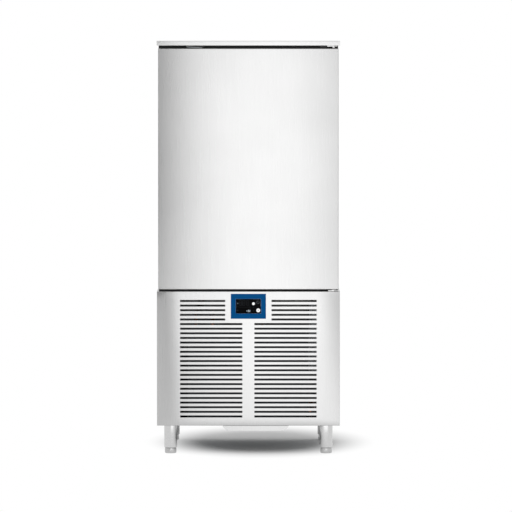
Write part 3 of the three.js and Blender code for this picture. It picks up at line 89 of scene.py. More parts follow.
BASE_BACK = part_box("base_rear_panel")[1].y  # where the painted shade ends
INSIDE_SHADE = 0.25  # how much of the sheet's brightness the painted shade leaves
SHADE = 0.06  # how far a finish's brightness drifts over a piece


def surface(name, colour, roughness, metallic=0.0, grain=(250, 250, 250), spread=0.05, relief=2e-5,
            slot=None, inside=None, **more):
    """A finish whose roughness, colour and relief vary with a grain of so many marks a metre.
    Its slot is the record's name for it, and faces turned to the base's inside get painted shade."""
    material = bpy.data.materials.new(name)
    material["slot"] = slot or name
    material.use_nodes = True
    material.node_tree.nodes.clear()
    place = node(material, "TexCoord").outputs["Object"]
    marks = node(material, "Mapping", {"Vector": place, "Scale": grain}).outputs["Vector"]
    noise, cloud = [
        node(material, "TexNoise", {"Vector": co, "Scale": scale, "Detail": detail}).outputs["Fac"]
        for co, scale, detail in ((marks, 1.0, 3.0), (place, 4.0, 2.0))
    ]
    ends = {"To Min": roughness - spread, "To Max": roughness + spread}
    rough = node(material, "MapRange", {"Value": noise, "From Min": 0.3, "From Max": 0.7, **ends})
    light = node(material, "MapRange", {"Value": cloud, "To Min": 1 - SHADE, "To Max": 1 + SHADE})
    value = light.outputs["Result"]
    # Painted shade: faces turned towards the base's inside, ahead of its back panel, are darkened.
    if inside:
        normal = node(material, "TexCoord").outputs["Normal"]
        dot = node(material, "VectorMath", {0: normal, 1: inside}, operation="DOT_PRODUCT")
        depth = node(material, "SeparateXYZ", {"Vector": place}).outputs["Y"]
        ahead = node(material, "Math", {0: depth, 1: BASE_BACK}, operation="LESS_THAN")
        sides = {0: dot.outputs["Value"], 1: ahead.outputs["Value"]}
        hidden = node(material, "Math", sides, operation="MULTIPLY").outputs["Value"]
        shade_range = {"Value": hidden, "From Min": 0.6, "From Max": 0.9, "To Min": 1.0, "To Max": INSIDE_SHADE}
        inside_shade = node(material, "MapRange", shade_range).outputs["Result"]
        value = node(material, "Math", {0: value, 1: inside_shade}, operation="MULTIPLY").outputs["Value"]
    tone = node(material, "HueSaturation", {"Color": linear(colour), "Value": value})
    bump = node(material, "Bump", {"Height": noise, "Strength": 1.0, "Distance": relief})
    finish = {"Base Color": tone.outputs["Color"], "Roughness": rough.outputs["Result"],
              "Metallic": metallic, "Normal": bump.outputs["Normal"], **more}
    shader = node(material, "BsdfPrincipled", finish)
    node(material, "OutputMaterial", {"Surface": shader.outputs["BSDF"]})
    return material


LEVEL_GRAIN = (5, 900, 900)  # across the roof, and drawn no finer than it can be seen


def stainless(name, grain, inside=None):
    """Satin-brushed stainless sheet: a soft sheen broken up by a fine straight grain."""
    return surface(name, "B9B9B9", 0.29, 1.0, grain=grain, spread=0.02, relief=3e-6,
                   slot="satin_stainless", inside=inside)


level_stainless = stainless("level_stainless", LEVEL_GRAIN)


def block(bm, low, high):
    """Adds a box between two corners and returns its faces."""
    size = [b - a for a, b in zip(low, high)]
    middle = Vector([(a + b) / 2 for a, b in zip(low, high)])
    place = Matrix.Translation(middle) @ Matrix.Diagonal((*size, 1.0))
    corners = bmesh.ops.create_cube(bm, size=1.0, matrix=place)["verts"]
    return list({face for corner in corners for face in corner.link_faces})


def soften(bm, edges, width, segments=3):
    """Rounds the given edges."""
    bmesh.ops.bevel(bm, geom=list(edges), offset=width, segments=segments, profile=0.5,
                    material=-1, affect="EDGES")


def add_piece(name, bm, material, body="cabinet", replaces=(), wall=0.0, edge=0.0, angle=30):
    """Makes bm a piece in one material, with a sheet's wall, soft edges, its body and the
    CAD nodes that it stands for."""
    mesh = bpy.data.meshes.new(name)
    bmesh.ops.recalc_face_normals(bm, faces=bm.faces)
    bm.to_mesh(mesh)
    bm.free()
    mesh.materials.append(material)
    mesh.shade_smooth()
    mesh.set_sharp_from_angle(angle=math.radians(angle))
    piece = bpy.data.objects.new(name, mesh)
    scene.collection.objects.link(piece)
    if wall:
        sheet = piece.modifiers.new("sheet", "SOLIDIFY")
        sheet.thickness = abs(wall)
        sheet.offset = -1 if wall > 0 else 1
    if edge:
        soft = piece.modifiers.new("soft_edges", "BEVEL")
        soft.width = edge
        soft.segments = 2
        soft.limit_method = "ANGLE"
        soft.angle_limit = math.radians(angle)
        soft.harden_normals = True
    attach(piece, body)
    if replaces:
        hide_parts(*replaces)


NEAR = 1e-5  # anything closer to a plane than this lies on it


def cut_openings(bm, axis, level, openings):
    """Cuts rectangles, given by their spans along the other two axes, out of the sheet that
    lies at one level of an axis."""
    others = [i for i in range(3) if i != axis]
    for place, other in enumerate(others):
        normal = Vector([float(i == other) for i in range(3)])
        for value in sorted({end for opening in openings for end in opening[place]}):
            everything = bm.verts[:] + bm.edges[:] + bm.faces[:]
            bmesh.ops.bisect_plane(bm, geom=everything, dist=1e-7, plane_co=normal * value,
                                   plane_no=normal)

    def is_open(face):
        middle = face.calc_center_median()
        return abs(middle[axis] - level) < NEAR and any(
            all(low < middle[other] < high for (low, high), other in zip(opening, others))
            for opening in openings
        )

    bmesh.ops.delete(bm, geom=[face for face in bm.faces if is_open(face)], context="FACES")


def edges_where(bm, test):
    """The edges whose two ends both pass a test."""
    return [edge for edge in bm.edges if all(test(vert.co) for vert in edge.verts)]


SHEET = 0.0015
FIT = 0.0003  # the play between pieces that are pushed together
roof_low, roof_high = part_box("roof_panel")
foam_low, foam_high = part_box("cell_insulation")
bm = bmesh.new()
block(bm, roof_low, roof_high)
soften(bm, edges_where(bm, lambda co: co.z > roof_high.z - NEAR), 0.0015)
soften(bm, edges_where(bm, lambda co: co.z < roof_low.z + NEAR), 0.0008)
mouth = [(foam_low.x - FIT, foam_high.x + FIT), (foam_low.y - FIT, foam_high.y + FIT)]
cut_openings(bm, 2, roof_low.z, [mouth])
add_piece("roof", bm, level_stainless, replaces=["roof_panel"], wall=SHEET)

# ---------------------------------------------------------------- cell skins
# Flat outer skins at the sides and back stand on the base round rigid foam. The dark moulded
# frame round the opening keeps the cold of the liner from the skins.


def refined(name, material, body="cabinet", edge=0.0004, angle=30):
    """A CAD node as one welded body with soft edges, standing for that node."""
    bm = bmesh.new()
    bm.from_mesh(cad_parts[name].data)
    bmesh.ops.remove_doubles(bm, verts=bm.verts, dist=5e-6)
    bmesh.ops.dissolve_limit(bm, angle_limit=math.radians(0.5), verts=bm.verts, edges=bm.edges)
    add_piece(name + "_body", bm, material, body, [name], edge=edge, angle=angle)


# The same sheet, with its grain running up.
UPRIGHT_GRAIN = (900, 900, 5)
satin_stainless = stainless("satin_stainless", UPRIGHT_GRAIN)
for skin in ("left_side_panel", "right_side_panel", "rear_panel"):
    refined(skin, satin_stainless)
# Moulded ABS: nearly black, and dulled by the fine texture of its mould.
black_plastic = surface("black_plastic", "141415", 0.5, grain=(500, 500, 500))
refined("front_frame", black_plastic)
# Rigid polyurethane foam: buff, quite matt and finely pitted.
foam = surface("foam", "D8CFA4", 0.9, grain=(400, 400, 400), relief=2e-4)
refined("cell_insulation", foam)

# ---------------------------------------------------------------- cell liner
# The food cell is a welded stainless box with coved corners, open at the front, and its
# floor is pierced over the drain.


def rectangle(low, high, radius=0.0, steps=5):
    """A rectangular loop whose corners are rounded."""
    corners = [(high[0], high[1]), (low[0], high[1]), (low[0], low[1]), (high[0], low[1])]
    if not radius:
        return corners
    loop = []
    for quarter, (x, z) in enumerate(corners):
        middle_x = x + (radius if x == low[0] else -radius)
        middle_z = z + (radius if z == low[1] else -radius)
        for step in range(steps + 1):
            turn = math.pi / 2 * (quarter + step / steps)
            loop.append((middle_x + radius * math.cos(turn), middle_z + radius * math.sin(turn)))
    return loop


def bridge(bm, rings):
    """Joins each closed ring of vertices to the next."""
    for ring, following in zip(rings, rings[1:]):
        for i in range(len(ring)):
            bm.faces.new((ring[i - 1], ring[i], following[i], following[i - 1]))


def prism(bm, loop, along):
    """Adds what a closed loop of points sweeps along a vector."""
    near = [bm.verts.new(point) for point in loop]
    far = [bm.verts.new(Vector(point) + Vector(along)) for point in loop]
    bridge(bm, [near, far])
    bm.faces.new(near)
    bm.faces.new(far)


def open_side(bm, axis, level):
    """Takes off the flat side that lies at one level of an axis."""
    side = [face for face in bm.faces if abs(face.calc_center_median()[axis] - level) < NEAR]
    bmesh.ops.delete(bm, geom=side, context="FACES_ONLY")


def centre_of(name):
    """The middle of a node's box."""
    return sum(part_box(name), Vector()) / 2


COVE = 0.016
BACK_COVE = 0.010
DRAIN_OPENING = 0.012
liner_low, liner_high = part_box("cell_liner")
inside_low = liner_low + Vector((SHEET, 0, SHEET))
inside_high = liner_high - Vector((SHEET, SHEET, SHEET))
drain_low, drain_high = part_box("drain_pipe")
drain = centre_of("drain_pipe")
bm = bmesh.new()
section = rectangle((inside_low.x, inside_low.z), (inside_high.x, inside_high.z), COVE, 6)
prism(bm, [(x, inside_low.y, z) for x, z in section], (0, inside_high.y - inside_low.y, 0))
open_side(bm, 1, inside_low.y)
soften(bm, edges_where(bm, lambda co: co.y > inside_high.y - NEAR), BACK_COVE, 4)
drain_hole = [(place - DRAIN_OPENING, place + DRAIN_OPENING) for place in drain.xy]
cut_openings(bm, 2, inside_low.z, [drain_hole])
add_piece("liner", bm, satin_stainless, replaces=["cell_liner"], wall=-SHEET)

# ---------------------------------------------------------------- drain
# A grey plastic pipe hangs by its cup from the cell's floor and drops to the drip tray, where
# the meltwater collects.


def at(place, height):
    """The point over or under a place at a height."""
    return Vector((place.x, place.y, height))


def lathe(bm, profile, centre, axis, sides=48):
    """Turns (radius, distance) points about an axis through a centre."""
    along = Vector(axis).normalized()
    out = along.orthogonal().normalized()
    points = [bm.verts.new(Vector(centre) + along * far + out * radius) for radius, far in profile]
    edges = [bm.edges.new(pair) for pair in zip(points, points[1:])]
    bmesh.ops.spin(bm, geom=points + edges, cent=centre, axis=along, angle=2 * math.pi,
                   steps=sides, use_merge=True)
    bmesh.ops.remove_doubles(bm, verts=bm.verts, dist=1e-6)


def turned(name, profile, centre, material, body="cabinet", replaces=(), axis=(0, 0, 1), sides=48):
    """A piece that is one turned profile."""
    bm = bmesh.new()
    lathe(bm, profile, centre, axis, sides)
    add_piece(name, bm, material, body, replaces)


# Extruded PVC: a plain mid grey with a soft gloss.
grey_plastic = surface("grey_plastic", "8C8F91", 0.5)
PIPE_RADIUS = 0.015
PIPE_BORE = 0.013
CUP_RADIUS = 0.030
CUP_DEPTH = 0.0017
cup_bottom = drain_high.z - CUP_DEPTH
pipe = [(PIPE_BORE, drain_low.z), (PIPE_RADIUS, drain_low.z), (PIPE_RADIUS, cup_bottom)]
pipe += [(CUP_RADIUS, cup_bottom), (CUP_RADIUS, cup_bottom + 0.0008)]
pipe += [(CUP_RADIUS - 0.001, drain_high.z), (PIPE_BORE + 0.003, drain_high.z)]
pipe += [(PIPE_BORE, cup_bottom), (PIPE_BORE, drain_low.z)]
turned("drain_tube", pipe, at(drain, 0), grey_plastic, replaces=["drain_pipe"])

# ---------------------------------------------------------------- racks
# Stainless channel uprights are screwed to the cell's side walls. They carry folded runners,
# each with its edges turned down, that hold the trays.

# Polished stainless: brighter and smoother than the sheets, with sharper highlights.
polished_steel = surface("polished_steel", "CACACA", 0.24, 1.0)
RUNNER_PITCH = 0.062
RUNNER_LEVELS = 14
RUNNER_RISE = 0.026
RUNNER_WIDTH = 0.038
RUNNER_THICKNESS = 0.003
RUNNER_SHEET = 0.0012
UPRIGHT_INSET = 0.040
UPRIGHT_WIDTH = 0.025
UPRIGHT_DEPTH = 0.012
SCREW_RADIUS = 0.0035
SCREWED_LEVELS = (0, 6, 12)


def screw(bm, place, axis):
    """Adds a low domed screw head with a socket, at a place and standing out along an axis."""
    head = [(0, 0.0004), (0.35, 0.0004), (0.4, 0.0016), (0.8, 0.0013), (1, 0.0003), (1, 0)]
    lathe(bm, [(SCREW_RADIUS * share, far) for share, far in head], place, axis, 10)


for side, toward in (("left", 1), ("right", -1)):
    low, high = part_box(side + "_rack")
    wall = low.x if toward > 0 else high.x
    uprights = (low.y + UPRIGHT_INSET, high.y - UPRIGHT_INSET - UPRIGHT_WIDTH)
    bm = bmesh.new()
    for y in uprights:
        channel = [(0, 0), (UPRIGHT_DEPTH, 0), (UPRIGHT_DEPTH, UPRIGHT_WIDTH), (0, UPRIGHT_WIDTH)]
        inner, side_wall = UPRIGHT_DEPTH - SHEET, UPRIGHT_WIDTH - SHEET
        channel += [(0, side_wall), (inner, side_wall), (inner, SHEET), (0, SHEET)]
        prism(bm, [(wall + toward * x, y + d, low.z) for x, d in channel], (0, 0, high.z - low.z))
    bottom = RUNNER_THICKNESS - RUNNER_SHEET
    fold = RUNNER_WIDTH - RUNNER_SHEET
    strip = [(0, 0), (0, RUNNER_THICKNESS), (RUNNER_WIDTH, RUNNER_THICKNESS), (RUNNER_WIDTH, 0)]
    strip += [(fold, 0), (fold, bottom), (RUNNER_SHEET, bottom), (RUNNER_SHEET, 0)]
    start = wall + toward * UPRIGHT_DEPTH / 2
    first = low.z + RUNNER_RISE
    for level in range(RUNNER_LEVELS):
        height = first + level * RUNNER_PITCH
        runner = [(start + toward * x, low.y, height + z) for x, z in strip]
        prism(bm, runner, (0, high.y - low.y, 0))
    add_piece(side + "_rack_frame", bm, satin_stainless, replaces=[side + "_rack"], edge=0.0003)
    bm = bmesh.new()
    face = wall + toward * UPRIGHT_DEPTH
    for y in uprights:
        for level in SCREWED_LEVELS:
            height = first + (level + 0.5) * RUNNER_PITCH
            screw(bm, (face, y + UPRIGHT_WIDTH / 2, height), (toward, 0, 0))
    add_piece(side + "_rack_screws", bm, polished_steel)

# ---------------------------------------------------------------- evaporator
# A coil with thin aluminium fins between two folded end plates. It stands upright in the duct
# behind the fan panel.

END_PLATE = 0.003
FIN_WALL = 0.0004
FIN_INSET = 0.0004
FIN_STAND = 0.008
CORE_INSET = 0.001


def finned_coil(name, material, depth, pitch):
    """A coil's end plates, its core and the fins that stand out of it in front and behind."""
    low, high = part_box(name)
    rear = low.y + depth
    first, last = low.x + END_PLATE, high.x - END_PLATE
    bm = bmesh.new()
    for x in (low.x, last):
        block(bm, (x, low.y, low.z), (x + END_PLATE, high.y, high.z))
    core = (first, low.y + FIN_STAND, low.z + CORE_INSET)
    block(bm, core, (last, rear - FIN_STAND, high.z - CORE_INSET))
    fins = round((last - first) / pitch)
    for fin in range(1, fins):
        x = first + (last - first) * fin / fins - FIN_WALL / 2
        block(bm, (x, low.y + FIN_INSET, low.z), (x + FIN_WALL, rear - FIN_INSET, high.z))
    add_piece(name + "_fins", bm, material, replaces=[name])


# Mill-finish aluminium: dull, with fine streaks across the fins.
finned_aluminium = surface("finned_aluminium", "8E9295", 0.5, 1.0, grain=(900, 60, 60))
finned_coil("evaporator_coil", finned_aluminium, depth=0.055, pitch=0.004)

# ---------------------------------------------------------------- evaporator fan panel
# A folded stainless panel across the back of the cell with two flared fan mouths, one over
# the other, and a small ring that holds the core probe by its collar.


def plate(bm, loops, low, high):
    """Adds a flat plate with holes, drawn by loops of x and z, between two depths."""
    drawing = bpy.data.curves.new("drawing", "CURVE")
    drawing.dimensions = "2D"
    drawing.fill_mode = "BOTH"
    drawing.extrude = (high - low) / 2
    for loop in loops:
        line = drawing.splines.new("POLY")
        line.points.add(len(loop) - 1)
        for point, (x, z) in zip(line.points, loop):
            point.co = (x, z, 0, 1)
        line.use_cyclic_u = True
    holder = bpy.data.objects.new("drawing", drawing)
    scene.collection.objects.link(holder)
    shown = holder.evaluated_get(bpy.context.evaluated_depsgraph_get())
    mesh = bpy.data.meshes.new_from_object(shown)
    upright = Matrix.Rotation(math.pi / 2, 4, "X")
    mesh.transform(Matrix.Translation((0, (low + high) / 2, 0)) @ upright)
    bm.from_mesh(mesh)
    bmesh.ops.remove_doubles(bm, verts=bm.verts, dist=1e-6)
    bpy.data.objects.remove(holder)
    bpy.data.curves.remove(drawing)
    bpy.data.meshes.remove(mesh)


def circle(x, z, radius, steps=32):
    """A round loop."""
    turns = [2 * math.pi * step / steps for step in range(steps)]
    return [(x + radius * math.cos(turn), z + radius * math.sin(turn)) for turn in turns]


FAN_OPENING = 0.127
MOUTH_FLARE = 0.003
MOUTH_DEPTH = 0.015
PANEL_RETURN = 0.022
PANEL_SCREW_INSET = (0.02, 0.03)
COLLAR_DROP = 0.035
RING_BORE = 0.0074
RING_WALL = 0.0026
RING_HEIGHT = 0.016
RING_DROP = 0.0033
RING_ARM = 0.004
panel_low, panel_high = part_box("evaporator_fan_panel")
probe_low, probe_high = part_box("core_probe")
probe = centre_of("core_probe")
collar = probe_high.z - COLLAR_DROP
panel_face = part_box("lower_fan_guard")[1].y + FIT
fan_places = [(level, centre_of(level + "_fan_guard")) for level in ("lower", "upper")]
bm = bmesh.new()
holes = [circle(place.x, place.z, FAN_OPENING + MOUTH_FLARE, 72) for _, place in fan_places]
sheet = rectangle((panel_low.x, panel_low.z), (panel_high.x, panel_high.z))
plate(bm, [sheet, *holes], panel_face, panel_face + SHEET)
for x in (panel_low.x, panel_high.x - SHEET):
    block(bm, (x, panel_face, panel_low.z), (x + SHEET, panel_face + PANEL_RETURN, panel_high.z))
for _, place in fan_places:
    flare = [(MOUTH_FLARE, 0), (0.0009, 0.0009), (0, MOUTH_FLARE), (0, MOUTH_DEPTH)]
    flare += [(SHEET, MOUTH_DEPTH), (SHEET, MOUTH_FLARE), (MOUTH_FLARE, SHEET), (MOUTH_FLARE, 0)]
    ring = [(FAN_OPENING + radius, depth) for radius, depth in flare]
    lathe(bm, ring, (place.x, panel_face, place.z), (0, 1, 0), 72)
ring_low = collar - RING_DROP - RING_HEIGHT
ring_outer = RING_BORE + RING_WALL
ring = [(RING_BORE, 0), (ring_outer, 0), (ring_outer, RING_HEIGHT), (RING_BORE, RING_HEIGHT)]
lathe(bm, [*ring, ring[0]], at(probe, ring_low), (0, 0, 1), 32)
arm_low = (probe.x - RING_ARM, probe.y + RING_BORE + 0.001, ring_low)
block(bm, arm_low, (probe.x + RING_ARM, panel_face, ring_low + RING_HEIGHT))
add_piece("fan_panel", bm, satin_stainless, replaces=["evaporator_fan_panel"], angle=15)
bm = bmesh.new()
inset, rise = PANEL_SCREW_INSET
for x in (panel_low.x + inset, panel_high.x - inset):
    for height in (panel_low.z + rise, (panel_low.z + panel_high.z) / 2, panel_high.z - rise):
        screw(bm, (x, panel_face, height), (0, -1, 0))
add_piece("fan_panel_screws", bm, polished_steel)

# ---------------------------------------------------------------- core probe
# A stainless needle in a moulded black grip. It hangs by the grip's collar in the panel's
# ring.

GRIP_LENGTH = 0.070
grip_low = probe_high.z - GRIP_LENGTH
length = grip_low + 0.002 - probe_low.z
needle = [(0, 0), (0.0006, 0.001), (0.002, 0.006), (0.002, length), (0, length)]
turned("probe_needle", needle, at(probe, probe_low.z), polished_steel, sides=24)
grip = [(0, 0), (0.0045, 0), (0.007, 0.004), (0.007, 0.035), (0.0085, 0.035), (0.0085, 0.038)]
grip += [(0.007, 0.038), (0.0062, 0.041), (0.0062, 0.064), (0.007, 0.067)]
grip += [(0.006, GRIP_LENGTH), (0, GRIP_LENGTH)]
turned("probe_grip", grip, at(probe, grip_low), black_plastic, replaces=["core_probe"], sides=32)

# ---------------------------------------------------------------- fans
# Each fan is a moulded black impeller with five cambered blades on the shaft of a steel
# motor, whose four arms stand round the mouth that it blows through.

BLADES = 5
VANE_WALL = 0.0018
VANE_CHORD = 0.62
VANE_SWEEP = 0.16
VANE_TWIST = 0.3
VANE_CAMBER = 0.1
STEPS_OUT = 7
STEPS_ALONG = 6


def impeller(name, bore, hub_radius, hub_depth):
    """A fan's hub and blades, about the level axis of its motor."""
    low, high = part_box(name)
    middle = centre_of(name.replace("blade", "motor"))
    middle.y = (low.y + high.y) / 2
    tip = high.x - middle.x
    tilt = high.y - low.y - VANE_WALL
    half = hub_depth / 2
    body = name.removesuffix("_blade")
    hub = [(bore, half), (bore, -half + 0.002), (hub_radius * 0.5, -half + 0.002)]
    hub += [(hub_radius - 0.003, -half), (hub_radius, -half + 0.003), (hub_radius, half), hub[0]]
    turned(name + "_hub", hub, middle, black_plastic, body, [name], (0, 1, 0))
    bm = bmesh.new()
    root = hub_radius * 0.96
    for blade in range(BLADES):
        rows = []
        for i in range(STEPS_OUT + 1):
            out = i / STEPS_OUT
            radius = root + (tip - root) * out
            row = []
            for j in range(STEPS_ALONG + 1):
                along = j / STEPS_ALONG - 0.5
                turn = 2 * math.pi * blade / BLADES + VANE_CHORD * along + VANE_SWEEP * out * out
                rise = tilt * along * (1 - VANE_TWIST * out)
                rise += VANE_CAMBER * tilt * (1 - 4 * along * along)
                arm = Vector((radius * math.cos(turn), rise, radius * math.sin(turn)))
                row.append(bm.verts.new(middle + arm))
            rows.append(row)
        for inner, outer in zip(rows, rows[1:]):
            for j in range(STEPS_ALONG):
                bm.faces.new((inner[j], inner[j + 1], outer[j + 1], outer[j]))
    add_piece(name + "_vanes", bm, black_plastic, body, wall=VANE_WALL)


# Galvanised steel: grey and half dull, with a faint large mottle.
galvanised_steel = surface("galvanised_steel", "9EA2A4", 0.45, 1.0, grain=(60, 60, 60), relief=4e-6)
ARM_HALF = 0.006
ARM_FRONT, ARM_REAR = 0.0005, 0.0035
ARM_TIP = 0.003
SHAFT_INSET = 0.02


def motor(name, radius, depth, shaft_radius):
    """A motor with a shaft forwards and four arms, about the level axis of its CAD node."""
    low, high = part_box(name)
    middle = centre_of(name)
    middle.y = high.y - depth
    start = low.y - middle.y
    bm = bmesh.new()
    shell = [(0, 0), (radius * 0.4, 0), (radius * 0.45, 0.001), (radius - 0.004, 0.001)]
    shell += [(radius - 0.0012, 0.0022), (radius, 0.005), (radius, depth * 0.5)]
    groove = radius - 0.001
    shell += [(groove, depth * 0.51), (groove, depth * 0.55), (radius, depth * 0.56)]
    shell += [(radius, depth - 0.010), (radius - 0.002, depth - 0.005), (radius - 0.008, depth)]
    shell += [(radius * 0.3, depth), (radius * 0.25, depth - 0.001), (0, depth - 0.001)]
    lathe(bm, shell, middle, (0, 1, 0))
    end = start + SHAFT_INSET
    shaft = [(0, end), (shaft_radius - 0.0005, end), (shaft_radius, end + 0.0005)]
    lathe(bm, shaft + [(shaft_radius, 0)], middle, (0, 1, 0), 24)
    add_piece(name + "_case", bm, galvanised_steel, replaces=[name])
    bm = bmesh.new()
    reach = (high.x - low.x) / math.sqrt(2) - ARM_HALF
    for quarter in range(4):
        arm = block(bm, (radius * 0.5, ARM_FRONT, -ARM_HALF), (reach, ARM_REAR, ARM_HALF))
        arm += block(bm, (reach - ARM_TIP, start, -ARM_HALF), (reach, ARM_REAR, ARM_HALF))
        corners = list({corner for face in arm for corner in face.verts})
        turn = Matrix.Rotation(math.pi / 4 + quarter * math.pi / 2, 4, "Y")
        bmesh.ops.transform(bm, matrix=Matrix.Translation(middle) @ turn, verts=corners)
    add_piece(name + "_arms", bm, galvanised_steel, edge=0.0005)


def tube(bm, route, radius, bend=0.0, sides=12):
    """Adds a round bar along a route, with one radius of bend at its corners."""
    path = [Vector(route[0])]
    for before, corner, after in zip(route, route[1:], route[2:]):
        into = (Vector(corner) - Vector(before)).normalized()
        out = (Vector(after) - Vector(corner)).normalized()
        turn = into.angle(out)
        centre = Vector(corner) + (out - into).normalized() * bend / math.cos(turn / 2)
        start = Vector(corner) - into * bend * math.tan(turn / 2) - centre
        hinge = into.cross(out)
        path += [centre + Matrix.Rotation(turn * step / 8, 3, hinge) @ start for step in range(9)]
    path.append(Vector(route[-1]))
    aside = (path[1] - path[0]).orthogonal()
    turns = [2 * math.pi * side / sides for side in range(sides)]
    rings = []
    for i, point in enumerate(path):
        along = (path[min(i + 1, len(path) - 1)] - path[max(i - 1, 0)]).normalized()
        aside = (aside - along * aside.dot(along)).normalized()
        across = along.cross(aside)
        spokes = [(aside * math.cos(t) + across * math.sin(t)) * radius for t in turns]
        rings.append([bm.verts.new(point + spoke) for spoke in spokes])
    bridge(bm, rings)
    bm.faces.new(rings[0])
    bm.faces.new(rings[-1])


GUARD_WIRE = 0.0015
GUARD_RINGS = 9
GUARD_SPOKES = 8
GUARD_BEND = 0.0016
for level, place in fan_places:
    impeller(level + "_fan_blade", bore=0.0043, hub_radius=0.028, hub_depth=0.024)
    motor(level + "_fan_motor", radius=0.040, depth=0.046, shaft_radius=0.004)
    low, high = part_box(level + "_fan_guard")
    outer = (high.z - low.z) / 2 - GUARD_WIRE
    turns = [math.pi * step / 4 for step in range(9)]
    bm = bmesh.new()
    for ring in range(GUARD_RINGS):
        radius = outer * (ring + 1) / GUARD_RINGS
        wire = [(radius + GUARD_WIRE * math.cos(t), GUARD_WIRE * math.sin(t)) for t in turns]
        lathe(bm, wire, (place.x, low.y + GUARD_WIRE, place.z), (0, 1, 0))
    add_piece(level + "_guard_rings", bm, polished_steel, replaces=[level + "_fan_guard"])
    bm = bmesh.new()
    hub = Vector((place.x, low.y + 3 * GUARD_WIRE - 0.0004, place.z))
    for spoke in range(GUARD_SPOKES):
        turn = 2 * math.pi * spoke / GUARD_SPOKES
        out = Vector((math.cos(turn), 0, math.sin(turn))) * outer
        foot = hub + out
        route = [hub + out / GUARD_RINGS, foot, Vector((foot.x, high.y, foot.z))]
        tube(bm, route, GUARD_WIRE, GUARD_BEND, 8)
    add_piece(level + "_guard_spokes", bm, polished_steel)

# ---------------------------------------------------------------- door
# A folded outer panel wrapped round foam, its left edge hollowed into a full-height finger
# channel. The inner panel closes the back with a pressed field inside the seal.

door_low, door_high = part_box("door_outer_panel")
GRIP_LIP = 0.009
GRIP_MOUTH = 0.034
GRIP_REACH = 0.024
lip_rear = door_low.y + GRIP_LIP
channel_rear = lip_rear + GRIP_MOUTH
channel_x = door_low.x + GRIP_REACH
door_plan = [
    (door_high.x, door_high.y),
    (door_high.x, door_low.y),
    (door_low.x, door_low.y),
    (door_low.x, lip_rear),
    (channel_x, lip_rear),
    (channel_x, channel_rear),
    (door_low.x, channel_rear),
    (door_low.x, door_high.y),
]
bm = bmesh.new()
prism(bm, [(x, y, door_low.z) for x, y in door_plan], (0, 0, door_high.z - door_low.z))
open_side(bm, 1, door_high.y)
soften(bm, edges_where(bm, lambda co: co.y < door_low.y + NEAR), 0.003, 4)
add_piece("door_skin", bm, satin_stainless, "door", ["door_outer_panel"], wall=SHEET, edge=0.0006)
refined("door_insulation", foam, "door")


def stepped(bm, rings):
    """Joins rectangles, each a low and a high corner of x and z at a depth, and returns the
    rings of their corners."""
    loops = []
    for low, high, depth in rings:
        loops.append([bm.verts.new((x, depth, z)) for x, z in rectangle(low, high)])
    bridge(bm, loops)
    return loops


SEAL_WIDTH = 0.022
PLUG_MARGIN = 0.016
seal_low, seal_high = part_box("door_gasket")
inner_low, inner_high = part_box("door_inner_panel")
field = SEAL_WIDTH + PLUG_MARGIN
field_low = (seal_low.x + field, seal_low.z + field)
field_high = (seal_high.x - field, seal_high.z - field)
bm = bmesh.new()
loops = stepped(bm, [
    ((inner_low.x, inner_low.z), (inner_high.x, inner_high.z), door_high.y),
    (field_low, field_high, door_high.y),
    (field_low, field_high, inner_high.y),
])
bm.faces.new(loops[-1])
soften(bm, edges_where(bm, lambda co: field_low[0] - NEAR < co.x < field_high[0] + NEAR), 0.003)
add_piece("door_liner", bm, satin_stainless, "door", ["door_inner_panel"], wall=-SHEET)

# ---------------------------------------------------------------- door seal
# An extruded grey bellows with a magnet strip in its lip, pressed into the inner panel and
# mitred at its corners.

# Extruded rubber: a dark matt grey.
grey_rubber = surface("grey_rubber", "5E6062", 0.7, grain=(500, 500, 500))
seal_depth = seal_high.y - seal_low.y
profile = [
    (0, 0), (0, 0.2), (0.10, 0.34), (0.16, 0.42), (0.08, 0.55), (0.06, 0.92), (0.10, 1.0),
    (0.90, 1.0), (0.94, 0.92), (0.92, 0.55), (0.84, 0.42), (0.90, 0.34), (1.0, 0.2), (1.0, 0),
]
rings = []
for across, depth in profile:
    inset = across * SEAL_WIDTH
    low = (seal_low.x + inset, seal_low.z + inset)
    rings.append((low, (seal_high.x - inset, seal_high.z - inset), seal_low.y + depth * seal_depth))
bm = bmesh.new()
loops = stepped(bm, rings)
bridge(bm, [loops[-1], loops[0]])
add_piece("door_seal", bm, grey_rubber, "door", ["door_gasket"], edge=0.0004, angle=50)

# ---------------------------------------------------------------- hinge bushes
# Flanged bushes of black plastic are pushed into the door's upper and lower ends, and turn on
# the brackets' pins.

PIN_RADIUS = 0.006
BUSH_RADIUS = 0.010
BUSH_FLANGE = 0.002
hinge = centre_of("upper_hinge_bush")
for name, up in (("upper_hinge_bush", 1), ("lower_hinge_bush", -1)):
    low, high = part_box(name)
    inner, outer = (low.z, high.z) if up > 0 else (high.z, low.z)
    under = outer - up * BUSH_FLANGE
    flange = (high.x - low.x) / 2
    bore = PIN_RADIUS + FIT
    bush = [(bore, inner), (BUSH_RADIUS, inner), (BUSH_RADIUS, under), (flange, under)]
    bush += [(flange, outer - up * 0.0006), (flange - 0.0006, outer), (bore, outer), (bore, inner)]
    turned(name + "_ring", bush, at(hinge, 0), black_plastic, "door", [name])

# ---------------------------------------------------------------- hinge brackets
# Stainless brackets on the cell's frame carry a pin each, and the lower one has a round seat
# for the door. A small black cover fills the gap beside the upper one.

